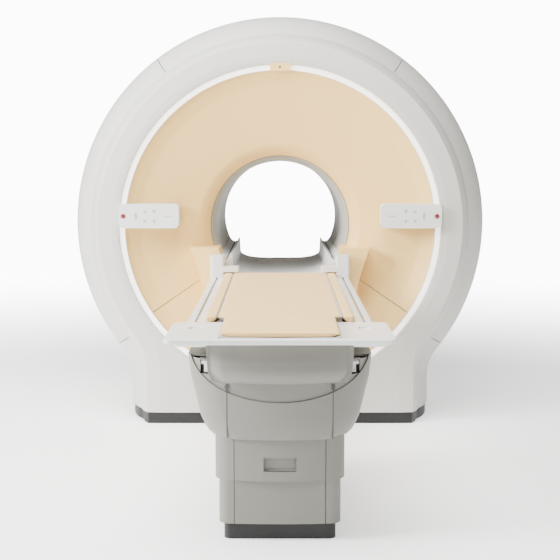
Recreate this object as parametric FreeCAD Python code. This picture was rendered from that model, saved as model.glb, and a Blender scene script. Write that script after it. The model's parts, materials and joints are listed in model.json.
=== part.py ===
"""Whole-body MRI scanner: a superconducting magnet in moulded covers, and a patient table on a lift.

Frame, in millimetres: Z = 0 is the floor, X = 0 is the plane of symmetry and Y = 0 is the isocentre.
+Y runs along the bore, away from the patient table. One STEP file per piece goes to parts/.
"""

import os

import FreeCAD
import Part
from math import atan, atan2, cos, pi, radians, sin, sqrt

V = FreeCAD.Vector

# ---- driving dimensions: covers -------------------------------------------------------------------
AXIS_Z = 1075.0            # height of the bore axis
BORE_R = 350.0             # patient bore
COVER_FACE_Y = 800.0       # front and rear faces of the covers
WALL = 8.0                 # moulded cover wall
SEAM = 4.0                 # shadow gap between covers
FIT = 0.3                  # clearance between pieces that seat on each other
BARREL_R = 1165.0          # covers at mid length
BARREL_LEG = 852.0         # half width of the foot at mid length
BARREL_ROOT = 240.0        # concave radius between barrel and foot
BARREL_POWER = 5.0         # how late the barrel turns in
CREASE_Y = 684.0           # where the shells meet the fascias
CREASE_R = 1032.0
CREASE_LEG = 766.0
CREASE_ROOT = 340.0
BULGE_Y = 742.0            # fullest section of the fascia's side
BULGE_R = 1016.0
BULGE_LEG = 752.0
RIDGE_Y = 789.0            # styling ridge of the fascia
RIDGE_R = 985.0
RIDGE_LEG = 728.0
FLAT_R = 905.0             # start of the fascia's flat front
FLAT_LEG = 650.0
LIP_R = 868.0              # opening of the front fascia
REAR_LIP_R = 560.0         # opening of the rear fascia
LIP_DEPTH = 62.0
PLINTH_HEIGHT = 62.0
PLINTH_INSET = 8.0
PLINTH_WALL = 12.0
UPPER_SEAM_DEG = 36.7      # half angle of the top shell
LOWER_SEAM_DEG = 126.5     # lower edge of the side shells, from the vertical
FRAME_BACK_Y = 650.0       # cover frames, behind the crease
FRAME_FRONT_Y = 705.0

# ---- driving dimensions: funnel, light ring, bore and bridge --------------------------------------
LINER = 6.0                # wall of funnels and patient tube
THROAT_Y = 480.0           # where the bell mouths reach the bore radius
MOUTH_LENGTH = 192.0       # bell mouth ellipse, along the bore
MOUTH_RISE = 120.0         # and across it
FUNNEL_SLOPE = 0.25
BAND_R = 758.0             # the funnel's steeper outer band
BAND_SLOPE = 0.46
RING_IN = 833.0            # light ring
RING_FACE_Y = 790.0
RING_DEPTH = 30.0
TUBE_RIM_R = 376.0         # the patient tube ends and the funnel begins
REAR_MOUTH_LENGTH = 150.0
FUNNEL_PANEL_DEG = 124.0   # upper edge of the lower funnel panel, from the vertical
TROUGH_Z = 800.0           # lowest line of the bridge
LEDGE_Z = 908.0            # channel on each side of the bridge
GROOVE_X = 287.0           # slot along each channel
BRIDGE_FRONT_Y = -822.0
BRIDGE_REAR_Y = 500.0
POD_TOP = 962.0
POD_HALF = 480.0
POD_LOW = 610.0
POD_FRONT_Y = -824.0
PANEL_IN = 540.0           # control panels, from the plane of symmetry
PANEL_OUT = 864.0
PANEL_LOW = 1071.0
PANEL_HIGH = 1200.0
PANEL_FACE_Y = -838.0
STOP_X = 838.0
STOP_R = 12.5
STOP_TRAVEL = 5.0

# ---- driving dimensions: magnet -------------------------------------------------------------------
VESSEL_R = 940.0
VESSEL_BORE_R = 455.0
VESSEL_HALF = 620.0
VESSEL_WALL = 8.0
SHIELD_GAP = 20.0          # vacuum vessel to radiation shield, and shield to helium vessel
GRADIENT_IN = 388.0
GRADIENT_OUT = 446.0
GRADIENT_HALF = 600.0
BODY_COIL_IN = 364.0
BODY_COIL_OUT = 376.0
BODY_COIL_HALF = 300.0
BEAM_X = 420.0             # magnet base beams

# ---- driving dimensions: patient table ------------------------------------------------------------
TABLE_FAR_Y = -832.0       # end of the fixed rails, in front of the docking pod
TABLE_NEAR_Y = -3060.0
RAIL_TOP = 812.0
RAIL_OUT = 367.0
RAIL_IN = 296.0
WING_OUT = 419.0
WING_IN = 224.0
WING_REAR_Y = -2600.0
BOARD_HALF = 246.0         # moving tabletop
BOARD_LOW = 802.0
MATTRESS_TOP = 836.0
PAD_GAP = 5.0              # moving mattress to the fixed arm pads
LIFT = 260.0               # travel of the lift; the middle stage moves half of it
PED_FRONT_Y = -2840.0      # lower sleeve's front
PED_LENGTH = 1000.0
BASE_HEIGHT = 68.0
LOWER_HALF = 233.0
LOWER_TOP = 390.0
SLEEVE_STEP = 15.0         # each sleeve is this much larger than the one inside
SLEEVE_WALL = 4.0
MID_LOW = 238.0
MID_TOP = 568.0
COLUMN_HALF = 110.0        # lowest stage of the lift column
COLUMN_WALL = 8.0
BODY_LOW = 400.0           # table body
BODY_FRONT_Y = -2900.0
BODY_HALF = 352.0
BODY_WALL = 5.0
BODY_PULL = 0.35           # how far the ends draw in, as a share of the sides
COLLAR_Z = 745.0           # centre of the collar's U
COLLAR_HALF = 345.0
COLLAR_DROP = 198.0
PANEL_SPLIT = 199.0        # vertical seams of the body
BODY_SEAM = 0.8
SKIRT_LOW = 628.0
SKIRT_FRONT_Y = -2970.0
SKIRT_HALF = 275.0
FRAME_LOW = 712.0          # table frame
FRAME_HALF = 262.0
FRAME_WALL = 10.0
FLANGE_TOP = 772.0
SLOT_HALF = 30.0
BLOCK_LOW = 842.0          # arms of the far blocks, above the moving mattress
BLOCK_TOP = 932.0
LEVER_IN, LEVER_OUT = 258.0, 298.0
LEVER_LOW, LEVER_HIGH = 650.0, 700.0
LEVER_Y = BODY_FRONT_Y + 40
PIVOT_R = 4.0
PIVOT_Z = LEVER_HIGH - 10
SHAFT_R = 6.0
RAM_R = 28.0
PIN_FIT = 0.05             # pins and rods in their holes
PED_BACK_Y = PED_FRONT_Y + PED_LENGTH
PED_Y = PED_FRONT_Y + PED_LENGTH / 2
KICK_INSET = 18.0
KICK_WALL = 6.0
PLATE_TOP = 20.0
BOLT_X, BOLT_Y, BOLT_R = 150.0, 350.0, 7.0
DUCT_HALF, DUCT_HEIGHT = 90.0, 45.0


# ---- small helpers --------------------------------------------------------------------------------
def save(name, *solids):
    """Writes one or more solids as a node."""
    loose = [s for shape in solids for s in shape.Solids]
    shape = loose[0] if len(loose) == 1 else Part.makeCompound(loose)
    shape.exportStep(f"parts/{name}.step")


def box(x0, x1, y0, y1, z0, z1):
    return Part.makeBox(x1 - x0, y1 - y0, z1 - z0, V(x0, y0, z0))


def closed(points):
    return Part.makePolygon([V(*p) for p in points] + [V(*points[0])])


def prism_y(points, y0, y1):
    """Solid of an (x, z) outline, from y0 to y1."""
    return Part.Face(closed([(x, y0, z) for x, z in points])).extrude(V(0, y1 - y0, 0))


def prism_x(points, x0, x1):
    """Solid of a (y, z) outline, from x0 to x1."""
    return Part.Face(closed([(x0, y, z) for y, z in points])).extrude(V(x1 - x0, 0, 0))


def prism_z(points, z0, z1):
    """Solid of an (x, y) outline, from z0 to z1."""
    return Part.Face(closed([(x, y, z0) for x, y in points])).extrude(V(0, 0, z1 - z0))


def both_sides(points):
    """Adds the mirror image of a half outline that starts on the plane of symmetry."""
    return points + [(-x, z) for x, z in reversed(points) if x]


def mirrored(shape):
    return shape.mirror(V(0, 0, 0), V(1, 0, 0))


def pair(name, shape):
    """Writes a left piece (-X) and its mirror image on the right."""
    save(f"left_{name}", shape)
    save(f"right_{name}", mirrored(shape))


def both(name, shape):
    """Writes a left piece (-X) and its mirror image as one node."""
    save(name, shape, mirrored(shape))


def around_bore(points):
    """Solid of an (r, y) outline turned about the bore axis."""
    face = Part.Face(closed([(r, y, AXIS_Z) for r, y in points]))
    return face.revolve(V(0, 0, AXIS_Z), V(0, 1, 0), 360)


def bore_cylinder(r, y0, y1):
    return Part.makeCylinder(r, y1 - y0, V(0, y0, AXIS_Z), V(0, 1, 0))


def bore_tube(r_in, r_out, y0, y1):
    return bore_cylinder(r_out, y0, y1).cut(bore_cylinder(r_in, y0, y1))


def upright(r, x, y, z0, z1):
    return Part.makeCylinder(r, z1 - z0, V(x, y, z0))


def across(r, x0, x1, y, z):
    """Cylinder along X."""
    return Part.makeCylinder(r, x1 - x0, V(x0, y, z), V(1, 0, 0))


def along(r, x, y0, y1, z):
    """Cylinder along Y."""
    return Part.makeCylinder(r, y1 - y0, V(x, y0, z), V(0, 1, 0))


def rounded(x0, x1, y0, y1, r, z):
    """Wire of a rounded rectangle in plan, at height z."""
    k = r * (1 - sqrt(0.5))
    lines = [((x0 + r, y0), (x1 - r, y0)), ((x1, y0 + r), (x1, y1 - r)),
             ((x1 - r, y1), (x0 + r, y1)), ((x0, y1 - r), (x0, y0 + r))]
    mids = [(x1 - k, y0 + k), (x1 - k, y1 - k), (x0 + k, y1 - k), (x0 + k, y0 + k)]
    edges = []
    for i, (start, end) in enumerate(lines):
        edges.append(Part.LineSegment(V(*start, z), V(*end, z)).toShape())
        following = lines[(i + 1) % 4][0]
        edges.append(Part.Arc(V(*end, z), V(*mids[i], z), V(*following, z)).toShape())
    return Part.Wire(edges)


def block(x0, x1, y0, y1, z0, z1, r):
    """Upright block with rounded plan corners."""
    return Part.Face(rounded(x0, x1, y0, y1, r, z0)).extrude(V(0, 0, z1 - z0))


def sleeve(half, y0, y1, z0, z1, r, wall):
    """Upright box section, open at top and bottom."""
    outer = block(-half, half, y0, y1, z0, z1, r)
    return outer.cut(block(-half + wall, half - wall, y0 + wall, y1 - wall, z0, z1, r - wall))


def sector(deg0, deg1, y0, y1, gap=0.0):
    """Wedge about the bore axis between two angles from the vertical, clear of both by half a gap."""
    reach = 3000.0
    middle = radians((deg0 + deg1) / 2)
    half = radians((deg1 - deg0) / 2)
    back = gap / 2 / sin(half)
    corner = [(back * sin(middle), back * cos(middle))]
    steps = [middle - half, middle, middle + half]
    rim = [(corner[0][0] + reach * sin(a), corner[0][1] + reach * cos(a)) for a in steps]
    return prism_y([(x, AXIS_Z + z) for x, z in corner + rim], y0, y1)


# ---- sections of the covers -----------------------------------------------------------------------
def barrel(y):
    """Radius, half foot width and root radius of the shells at y."""
    u = (abs(y) / CREASE_Y) ** BARREL_POWER
    return (BARREL_R + (CREASE_R - BARREL_R) * u,
            BARREL_LEG + (CREASE_LEG - BARREL_LEG) * u,
            BARREL_ROOT + (CREASE_ROOT - BARREL_ROOT) * u)


CREASE = (CREASE_R, CREASE_LEG, CREASE_ROOT)
BULGE = (BULGE_R, BULGE_LEG, CREASE_ROOT)
RIDGE = (RIDGE_R, RIDGE_LEG, CREASE_ROOT)
FLAT = (FLAT_R, FLAT_LEG, CREASE_ROOT)
SHELL_STATIONS = [CREASE_Y, FRAME_BACK_Y, 600.0, 530.0, 440.0, 300.0]
FASCIA_STATIONS = [(CREASE_Y + SEAM, CREASE), (BULGE_Y, BULGE), (RIDGE_Y, RIDGE), (COVER_FACE_Y, FLAT)]


def section(y, size, inset, bottom):
    """Closed outline of the covers at y: barrel arc, two concave roots, two straight legs and a base line."""
    r, leg, root = size[0] - inset, size[1] - inset, size[2] + inset
    root_x = leg + root
    drop = sqrt((r + root) ** 2 - root_x ** 2)
    root_z = AXIS_Z - drop
    share = r / (r + root)
    touch = (root_x * share, AXIS_Z - drop * share)
    angle = (pi + atan2(touch[1] - root_z, touch[0] - root_x)) / 2
    middle = (root_x + root * cos(angle), root_z + root * sin(angle))

    def at(x, z):
        return V(x, y, z)

    edges = [Part.Arc(at(*touch), at(0, AXIS_Z + r), at(-touch[0], touch[1])).toShape(),
             Part.Arc(at(-touch[0], touch[1]), at(-middle[0], middle[1]), at(-leg, root_z)).toShape(),
             Part.LineSegment(at(-leg, root_z), at(-leg, bottom)).toShape(),
             Part.LineSegment(at(-leg, bottom), at(leg, bottom)).toShape(),
             Part.LineSegment(at(leg, bottom), at(leg, root_z)).toShape(),
             Part.Arc(at(leg, root_z), at(*middle), at(*touch)).toShape()]
    return Part.Wire(edges)


def cover_solid(stations, inset, bottom):
    """Solid through the cover sections at the stations, given as (y, size)."""
    return Part.makeLoft([section(y, size, inset, bottom) for y, size in stations], True, True)


def between(low, high, share):
    return tuple(a + (b - a) * share for a, b in zip(low, high))


# ---- covers ---------------------------------------------------------------------------------------
def shells():
    """Barrel covers: top shell, two side shells and two foot covers."""
    half = [(y, barrel(y)) for y in SHELL_STATIONS]
    stations = [(-y, size) for y, size in half] + half[::-1]
    longer = [(-CREASE_Y - 1, CREASE)] + stations + [(CREASE_Y + 1, CREASE)]
    shell = cover_solid(stations, 0, PLINTH_HEIGHT).cut(cover_solid(longer, WALL, PLINTH_HEIGHT - 50))
    reach = CREASE_Y + 10

    def part(deg0, deg1):
        return shell.common(sector(deg0, deg1, -reach, reach, SEAM))

    save("top_shell", part(-UPPER_SEAM_DEG, UPPER_SEAM_DEG))
    both("side_shells", part(-LOWER_SEAM_DEG, -UPPER_SEAM_DEG))
    both("foot_covers", part(-179.0, -LOWER_SEAM_DEG))


def fascia(lip_r, sign):
    """End cover with a round opening: front at sign -1, rear at sign +1."""
    outer = [(sign * y, size) for y, size in FASCIA_STATIONS]
    inner = [(sign * (CREASE_Y + SEAM - 1), CREASE)] + outer[:2]
    inner += [(sign * (RIDGE_Y - WALL / 2), RIDGE), (sign * (COVER_FACE_Y - WALL), FLAT)]
    body = cover_solid(outer, 0, PLINTH_HEIGHT).cut(cover_solid(inner, WALL, PLINTH_HEIGHT - 50))
    low, high = sorted([sign * (COVER_FACE_Y + 10), sign * (COVER_FACE_Y - 100)])
    body = body.cut(bore_cylinder(lip_r, low, high))
    low, high = sorted([sign * COVER_FACE_Y, sign * (COVER_FACE_Y - LIP_DEPTH)])
    return body.fuse(bore_tube(lip_r, lip_r + WALL, low, high)).removeSplitter()


def cover_frame(sign):
    """Hoop that stands on the plinth and carries the shells and a fascia."""
    share = (FRAME_FRONT_Y - CREASE_Y - SEAM) / (BULGE_Y - CREASE_Y - SEAM)
    stations = [(FRAME_BACK_Y, barrel(FRAME_BACK_Y)), (CREASE_Y, CREASE), (CREASE_Y + SEAM, CREASE),
                (FRAME_FRONT_Y, between(CREASE, BULGE, share))]
    hoop = cover_solid([(sign * y, size) for y, size in stations], WALL + FIT, 0)
    low, high = sorted([sign * (FRAME_FRONT_Y + 1), sign * (FRAME_BACK_Y - 1)])
    hoop = hoop.cut(bore_cylinder(VESSEL_R + 35, low, high))
    plate_y = sorted([sign * (FRAME_BACK_Y + 12), sign * (FRAME_FRONT_Y + 1)])
    hollow = cover_solid([(sign * (FRAME_BACK_Y + 12), CREASE), (sign * (FRAME_FRONT_Y + 1), CREASE)], 45, -1)
    hollow = hollow.cut(bore_cylinder(VESSEL_R + 35 + 12, plate_y[0], plate_y[1]))
    arch = box(-FLAT_LEG, FLAT_LEG, low, high, -1, 180)
    base = box(-BARREL_R, BARREL_R, low, high, -1, PLINTH_HEIGHT)
    return hoop.cut(hollow).cut(arch).cut(base)


def plinth():
    """Black kickboard below the covers, in two halves."""
    half = sorted([(-y, barrel(y)[1]) for y in SHELL_STATIONS] + [(-y, s[1]) for y, s in FASCIA_STATIONS[1:]])
    line = [(y, leg - PLINTH_INSET) for y, leg in half]
    line = [(line[0][0] + PLINTH_INSET, line[0][1])] + line[1:]
    line += [(-y, x) for y, x in reversed(line)]

    def plan(inset):
        ends = line[0][0] + inset, line[-1][0] - inset
        points = [(max(ends[0], min(ends[1], y)), x - inset) for y, x in line]
        return [(0, ends[0])] + [(-x, y) for y, x in points] + [(0, ends[1])]

    # the kickboard reaches up behind the covers' lower edge
    ring = prism_z(plan(0), 0, PLINTH_HEIGHT - FIT).cut(prism_z(plan(PLINTH_WALL), -1, PLINTH_HEIGHT))
    gap = box(-SEAM / 2, 1, -2000, 2000, -1, PLINTH_HEIGHT)
    both("plinth", ring.cut(gap))


# ---- funnels, light ring, patient tube ------------------------------------------------------------
def mouth_profile(length, rise, steps, stop_slope):
    """(r, y) points of a bell mouth's quarter ellipse, from the bore outwards, until its slope is reached.

    y is the distance in front of the throat.
    """
    last = atan(stop_slope * rise / length)
    angles = [pi / 2 + (last - pi / 2) * i / steps for i in range(steps + 1)]
    return [(BORE_R + rise - rise * sin(a), length * cos(a)) for a in angles]


def front_profile():
    """(r, y) points of the front surface, from the throat to the light ring."""
    points = [(r, -THROAT_Y - y) for r, y in mouth_profile(MOUTH_LENGTH, MOUTH_RISE, 12, FUNNEL_SLOPE)]
    r, y = points[-1]
    band_y = y - FUNNEL_SLOPE * (BAND_R - r)
    rim_r = RING_IN - FIT
    return points + [(BAND_R, band_y), (rim_r, band_y - BAND_SLOPE * (rim_r - BAND_R))]


def split_profile(points, r_split):
    """Cuts an (r, y) profile at a radius and returns the inner and outer parts."""
    for i in range(len(points) - 1):
        (r0, y0), (r1, y1) = points[i], points[i + 1]
        if r0 <= r_split <= r1:
            cut = (r_split, y0 + (y1 - y0) * (r_split - r0) / (r1 - r0))
            return points[:i + 1] + [cut], [cut] + points[i + 1:]
    raise ValueError("the profile does not reach this radius")


def sheet(points, wall, sign=1):
    """Turned sheet behind an (r, y) profile; its back lies one wall further along the bore and outwards."""
    back = [(r + wall * 0.6, y + sign * wall * 1.1) for r, y in points]
    return around_bore(points + back[::-1])


def behind_front(clearance):
    """Everything behind the funnel, the ring and the flat front, to shape what is fixed on them."""
    points = front_profile()
    reach = RIDGE_R
    outline = [(r, y - clearance) for r, y in points]
    outline += [(RING_IN, -RING_FACE_Y - clearance), (LIP_R, -RING_FACE_Y - clearance),
                (LIP_R, -COVER_FACE_Y - clearance), (reach, -COVER_FACE_Y - clearance),
                (reach, -THROAT_Y + 200), (BORE_R, -THROAT_Y + 200)]
    return around_bore(outline)


def funnels():
    start_r = TUBE_RIM_R + LINER + FIT
    inner = split_profile(front_profile(), TUBE_RIM_R)[0]
    limits = (-COVER_FACE_Y - 50, -200)
    cone = sheet(split_profile(front_profile(), start_r)[1], LINER)
    cone = cone.common(bore_cylinder(RING_IN - FIT, *limits))
    edge = FUNNEL_PANEL_DEG
    save("front_funnel", cone.cut(sector(edge, 360 - edge, *limits, -3)))
    save("lower_funnel_panel", cone.common(sector(edge, 360 - edge, *limits, 3)))

    rear = mouth_profile(REAR_MOUTH_LENGTH, MOUTH_RISE, 10, FUNNEL_SLOPE)
    rear = [(r, THROAT_Y + y) for r, y in rear]
    rear += [(REAR_LIP_R - FIT - LINER * 0.6, COVER_FACE_Y - 24)]
    rear_in = split_profile(rear, TUBE_RIM_R)[0]
    save("rear_funnel", sheet(split_profile(rear, start_r)[1], LINER, -1))

    bore = [(r, y) for r, y in reversed(inner)] + rear_in
    back = [(r + LINER, y) for r, y in bore]
    save("patient_tube", around_bore(bore + back[::-1]))


def light_ring():
    outer = LIP_R - FIT
    face = -RING_FACE_Y
    deep = face + RING_DEPTH
    channel = bore_tube(RING_IN, outer, face, deep).cut(bore_tube(RING_IN + 3, outer - 3, face, deep - 3))
    channel = channel.cut(bore_tube(RING_IN + 3, outer - 3, face - 1, deep - 3))
    save("light_ring_channel", channel)
    save("light_ring_diffuser", bore_tube(RING_IN + 3 + FIT, outer - 3 - FIT, face, face + 4))
    tab = box(-54, 54, -COVER_FACE_Y - 4, -RING_FACE_Y - FIT, AXIS_Z + RING_IN - 4, AXIS_Z + LIP_R + 4)
    hole = along(6, 0, -COVER_FACE_Y - 10, -COVER_FACE_Y, AXIS_Z + 850)
    tab = tab.cut(behind_front(FIT)).cut(hole)
    save("sensor_tab", tab)


# ---- bridge and docking pod -----------------------------------------------------------------------
def bridge():
    half = [(0, TROUGH_Z), (130, TROUGH_Z), (205, TROUGH_Z + 10), (249, TROUGH_Z + 32),
            (253, TROUGH_Z + 50), (257, LEDGE_Z + 18), (265, LEDGE_Z + 20), (272, LEDGE_Z),
            (302, LEDGE_Z), (322, LEDGE_Z + 32), (360, LEDGE_Z + 32), (360, 700)]
    outline = both_sides(half)
    profile = prism_y(outline, BRIDGE_FRONT_Y, BRIDGE_REAR_Y)
    body = profile.common(bore_cylinder(BORE_R - FIT, BRIDGE_FRONT_Y, BRIDGE_REAR_Y))
    # cable duct under the trough
    duct_low = min(AXIS_Z - BORE_R + 20, TROUGH_Z - 28)
    duct = box(-DUCT_HALF, DUCT_HALF, BRIDGE_FRONT_Y - 1, BRIDGE_REAR_Y + 1, duct_low, TROUGH_Z - 8)
    body = body.cut(duct)
    for x in (-GROOVE_X, GROOVE_X):
        body = body.cut(box(x - 4, x + 4, BRIDGE_FRONT_Y - 1, BRIDGE_REAR_Y + 1, LEDGE_Z - 4, LEDGE_Z + 1))
    save("bridge", body)


def dock_pod():
    """Cradle on the funnel that holds the front of the bridge and receives the table."""
    half = [(0, POD_TOP), (POD_HALF, POD_TOP), (POD_HALF - 50, POD_TOP - 155), (POD_HALF - 90, POD_LOW),
            (0, POD_LOW)]
    pod = prism_y(both_sides(half), POD_FRONT_Y, -THROAT_Y - 60)
    pod = pod.cut(behind_front(FIT)).cut(bore_cylinder(BORE_R, POD_FRONT_Y - 1, -THROAT_Y))
    hollow = box(-POD_HALF + 110, POD_HALF - 110, POD_FRONT_Y + 14, -THROAT_Y, POD_LOW + 15,
                 AXIS_Z - BORE_R - 14)
    save("dock_pod", pod.cut(hollow))


# ---- control panels -------------------------------------------------------------------------------
def control_panels():
    r = 26.0
    face = Part.Face(rounded(-PANEL_OUT, -PANEL_IN, PANEL_LOW, PANEL_HIGH, r, 0))
    body = face.extrude(V(0, 0, 120))
    # turned so that its plan lies in the X-Z plane
    body.rotate(V(0, 0, 0), V(1, 0, 0), 90)
    body.translate(V(0, PANEL_FACE_Y + 120, 0))
    body = body.cut(behind_front(FIT + 0.2))
    stop_z = (PANEL_LOW + PANEL_HIGH) / 2
    body = body.cut(along(STOP_R + FIT, -STOP_X, PANEL_FACE_Y - 1, PANEL_FACE_Y + 14, stop_z))
    both("control_panels", body)
    stop = along(STOP_R, -STOP_X, PANEL_FACE_Y - STOP_TRAVEL - 1, PANEL_FACE_Y + 14 - STOP_TRAVEL - 1, stop_z)
    pair("stop_button", stop.makeFillet(1.5, [e for e in stop.Edges if e.CenterOfMass.y < PANEL_FACE_Y - 3]))


# ---- magnet ---------------------------------------------------------------------------------------
def annulus_vessel(r_in, r_out, half, wall):
    """Closed annular vessel about the bore."""
    room = bore_tube(r_in + wall, r_out - wall, -half + wall, half - wall)
    return bore_tube(r_in, r_out, -half, half).cut(room)


def magnet():
    step = SHIELD_GAP
    vessel = annulus_vessel(VESSEL_BORE_R, VESSEL_R, VESSEL_HALF, VESSEL_WALL)
    shield_in, shield_out = VESSEL_BORE_R + VESSEL_WALL + step, VESSEL_R - VESSEL_WALL - step
    shield_half = VESSEL_HALF - VESSEL_WALL - step
    helium_in, helium_out = shield_in + 4 + step, shield_out - 4 - step
    helium_half = shield_half - 4 - step
    save("radiation_shield", annulus_vessel(shield_in, shield_out, shield_half, 4))
    save("helium_vessel", annulus_vessel(helium_in, helium_out, helium_half, 6))
    # suspension rods cross the shield through clearance holes and tie the helium vessel to the outer one
    save("suspension_pads", *suspension(step, shield_in, shield_out, shield_half))

    former_in = helium_in + 6 + FIT
    former = bore_tube(former_in, former_in + 18, -helium_half + 6 + FIT, helium_half - 6 - FIT)
    main = [(-480, 90), (-260, 70), (-80, 50), (80, 50), (260, 70), (480, 90)]
    coils = []
    for y, width in main:
        coils.append(bore_tube(former_in + 18 + FIT, former_in + 78, y - width / 2, y + width / 2))
    save("coil_former", former)
    shield_coils = [bore_tube(helium_out - 6 - 70, helium_out - 6 - FIT, y - 45, y + 45) for y in (-430, 430)]
    save("superconducting_coils", *coils, *shield_coils)

    # cold head, at the top towards the rear, with its neck through the vessel wall
    head_y = 330.0
    top = AXIS_Z + VESSEL_R
    neck = upright(70, 0, head_y, top - 60, top + 60).cut(upright(58, 0, head_y, top - 61, top + 61))
    vessel = vessel.cut(upright(58, 0, head_y, top - 90, top + 61)).fuse(neck.cut(bore_cylinder(
        VESSEL_R - VESSEL_WALL, -VESSEL_HALF, VESSEL_HALF)))
    save("vacuum_vessel", vessel.removeSplitter())
    head = upright(82, 0, head_y, top + 60, top + 74).fuse(upright(46, 0, head_y, top + 74, top + 150))
    head = head.fuse(upright(40, 0, head_y, top - 19, top + 61))
    save("cold_head", head)


def suspension(step, shield_in, shield_out, shield_half):
    """Support blocks between the vessels: outer row for the shield, inner row for the helium vessel."""
    pads = []
    for side in (-1, 1):
        for deg in (-60, 60):
            for r0, r1 in ((shield_out + FIT, VESSEL_R - VESSEL_WALL - FIT),
                           (shield_out - 4 - step + FIT, shield_out - 4 - FIT)):
                lump = bore_tube(r0, r1, side * shield_half * 0.6 - 30, side * shield_half * 0.6 + 30)
                wedge = sector(180 + deg - 3, 180 + deg + 3, -shield_half, shield_half)
                pads.append(lump.common(wedge))
    return pads


def coils_in_bore():
    """Gradient coil and body coil between the patient tube and the vessel's warm bore."""
    save("gradient_coil", bore_tube(GRADIENT_IN, GRADIENT_OUT, -GRADIENT_HALF + 30, GRADIENT_HALF - 30))
    wedges = []
    for deg in (45, 135, 225, 315):
        for y in (-540, 500):
            lump = bore_tube(GRADIENT_OUT + FIT, VESSEL_BORE_R - FIT, y, y + 40)
            wedges.append(lump.common(sector(deg - 3, deg + 3, y - 1, y + 41)))
    save("body_coil", bore_tube(BODY_COIL_IN, BODY_COIL_OUT, -BODY_COIL_HALF, BODY_COIL_HALF))
    rings = []
    for y in (-BODY_COIL_HALF + 20, BODY_COIL_HALF - 60):
        rings.append(bore_tube(BORE_R + LINER + FIT, BODY_COIL_IN - FIT, y, y + 40))
        rings.append(bore_tube(BODY_COIL_OUT + FIT, GRADIENT_IN - FIT, y, y + 40))
    save("coil_spacers", *wedges, *rings)


def magnet_base():
    """Beams under the magnet, with a saddle for the vessel and bolted feet."""
    beams = None
    foot_y = 430.0
    for side in (-1, 1):
        x = side * BEAM_X
        beam = box(x - 50, x + 50, -560, 560, 12, 92)
        for y in (-foot_y, foot_y):
            pad = box(x - 90, x + 90, y - 90, y + 90, 0, 24)
            for dx in (-65, 65):
                pad = pad.cut(upright(9, x + dx, y, -1, 25))
            saddle_top = AXIS_Z - sqrt(VESSEL_R ** 2 - (BEAM_X - 50) ** 2) + 5
            saddle = box(x - 40, x + 40, y - 60, y + 60, 92, saddle_top + 60)
            beam = beam.fuse(pad).fuse(saddle)
        beams = beam if beams is None else beams.fuse(beam)
    for y in (-300.0, 300.0):
        beams = beams.fuse(box(-BEAM_X + 50, BEAM_X - 50, y - 40, y + 40, 12, 72))
    # sole plate under the isocentre joins the cross beams
    beams = beams.fuse(box(-60, 60, -340, 340, 0, 12)).removeSplitter()
    save("magnet_base", beams.cut(bore_cylinder(VESSEL_R + FIT, -700, 700)))


# ---- patient table: pedestal ----------------------------------------------------------------------
def pedestal():
    kick_front, kick_back = PED_FRONT_Y + 2 * KICK_INSET, PED_BACK_Y - 2 * KICK_INSET
    kick_half = LOWER_HALF - KICK_INSET
    kick = sleeve(kick_half, kick_front, kick_back, 0, BASE_HEIGHT - FIT, 30, KICK_WALL)
    duct_door = box(-DUCT_HALF - FIT, DUCT_HALF + FIT, kick_back - 40, kick_back + 1, -1, DUCT_HEIGHT + FIT)
    save("base_kickboard", kick.cut(duct_door))
    room = KICK_WALL + FIT
    plate = block(-kick_half + room, kick_half - room, kick_front + room, kick_back - room, 0, PLATE_TOP, 24)
    for x in (-BOLT_X, BOLT_X):
        for y in (PED_Y - BOLT_Y, PED_Y + BOLT_Y):
            plate = plate.cut(upright(BOLT_R, x, y, -1, PLATE_TOP + 1))
    plate = plate.cut(duct_door)
    save("lower_sleeve", sleeve(LOWER_HALF, PED_FRONT_Y, PED_BACK_Y, BASE_HEIGHT, LOWER_TOP, 40, SLEEVE_WALL))
    # angle brackets on the base plate carry the lower sleeve
    outer = LOWER_HALF - SLEEVE_WALL - FIT
    inner = kick_half - room - 2
    for y in (PED_Y - BOLT_Y, PED_Y + BOLT_Y):
        outline = [(inner - 40, PLATE_TOP), (inner, PLATE_TOP), (inner, BASE_HEIGHT + 1),
                   (outer, BASE_HEIGHT + 1), (outer, BASE_HEIGHT + 60), (inner - 8, BASE_HEIGHT + 60),
                   (inner - 8, PLATE_TOP + 8),
                   (inner - 40, PLATE_TOP + 8)]
        bracket = prism_y(outline, y - 25, y + 25)
        plate = plate.fuse(bracket).fuse(mirrored(bracket))
    save("base_plate", plate.removeSplitter())

    half, r = LOWER_HALF + SLEEVE_STEP, 40 + SLEEVE_STEP
    front, back = PED_FRONT_Y - SLEEVE_STEP, PED_BACK_Y + SLEEVE_STEP
    mid = sleeve(half, front, back, MID_LOW, MID_TOP, r, SLEEVE_WALL)
    scoop = across(30, -62, 62, front - 27, 303)
    save("mid_sleeve", mid.cut(scoop))


def square(half, z0, z1):
    """Square bar on the lift column's axis."""
    return box(-half, half, PED_Y - half, PED_Y + half, z0, z1)


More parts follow.
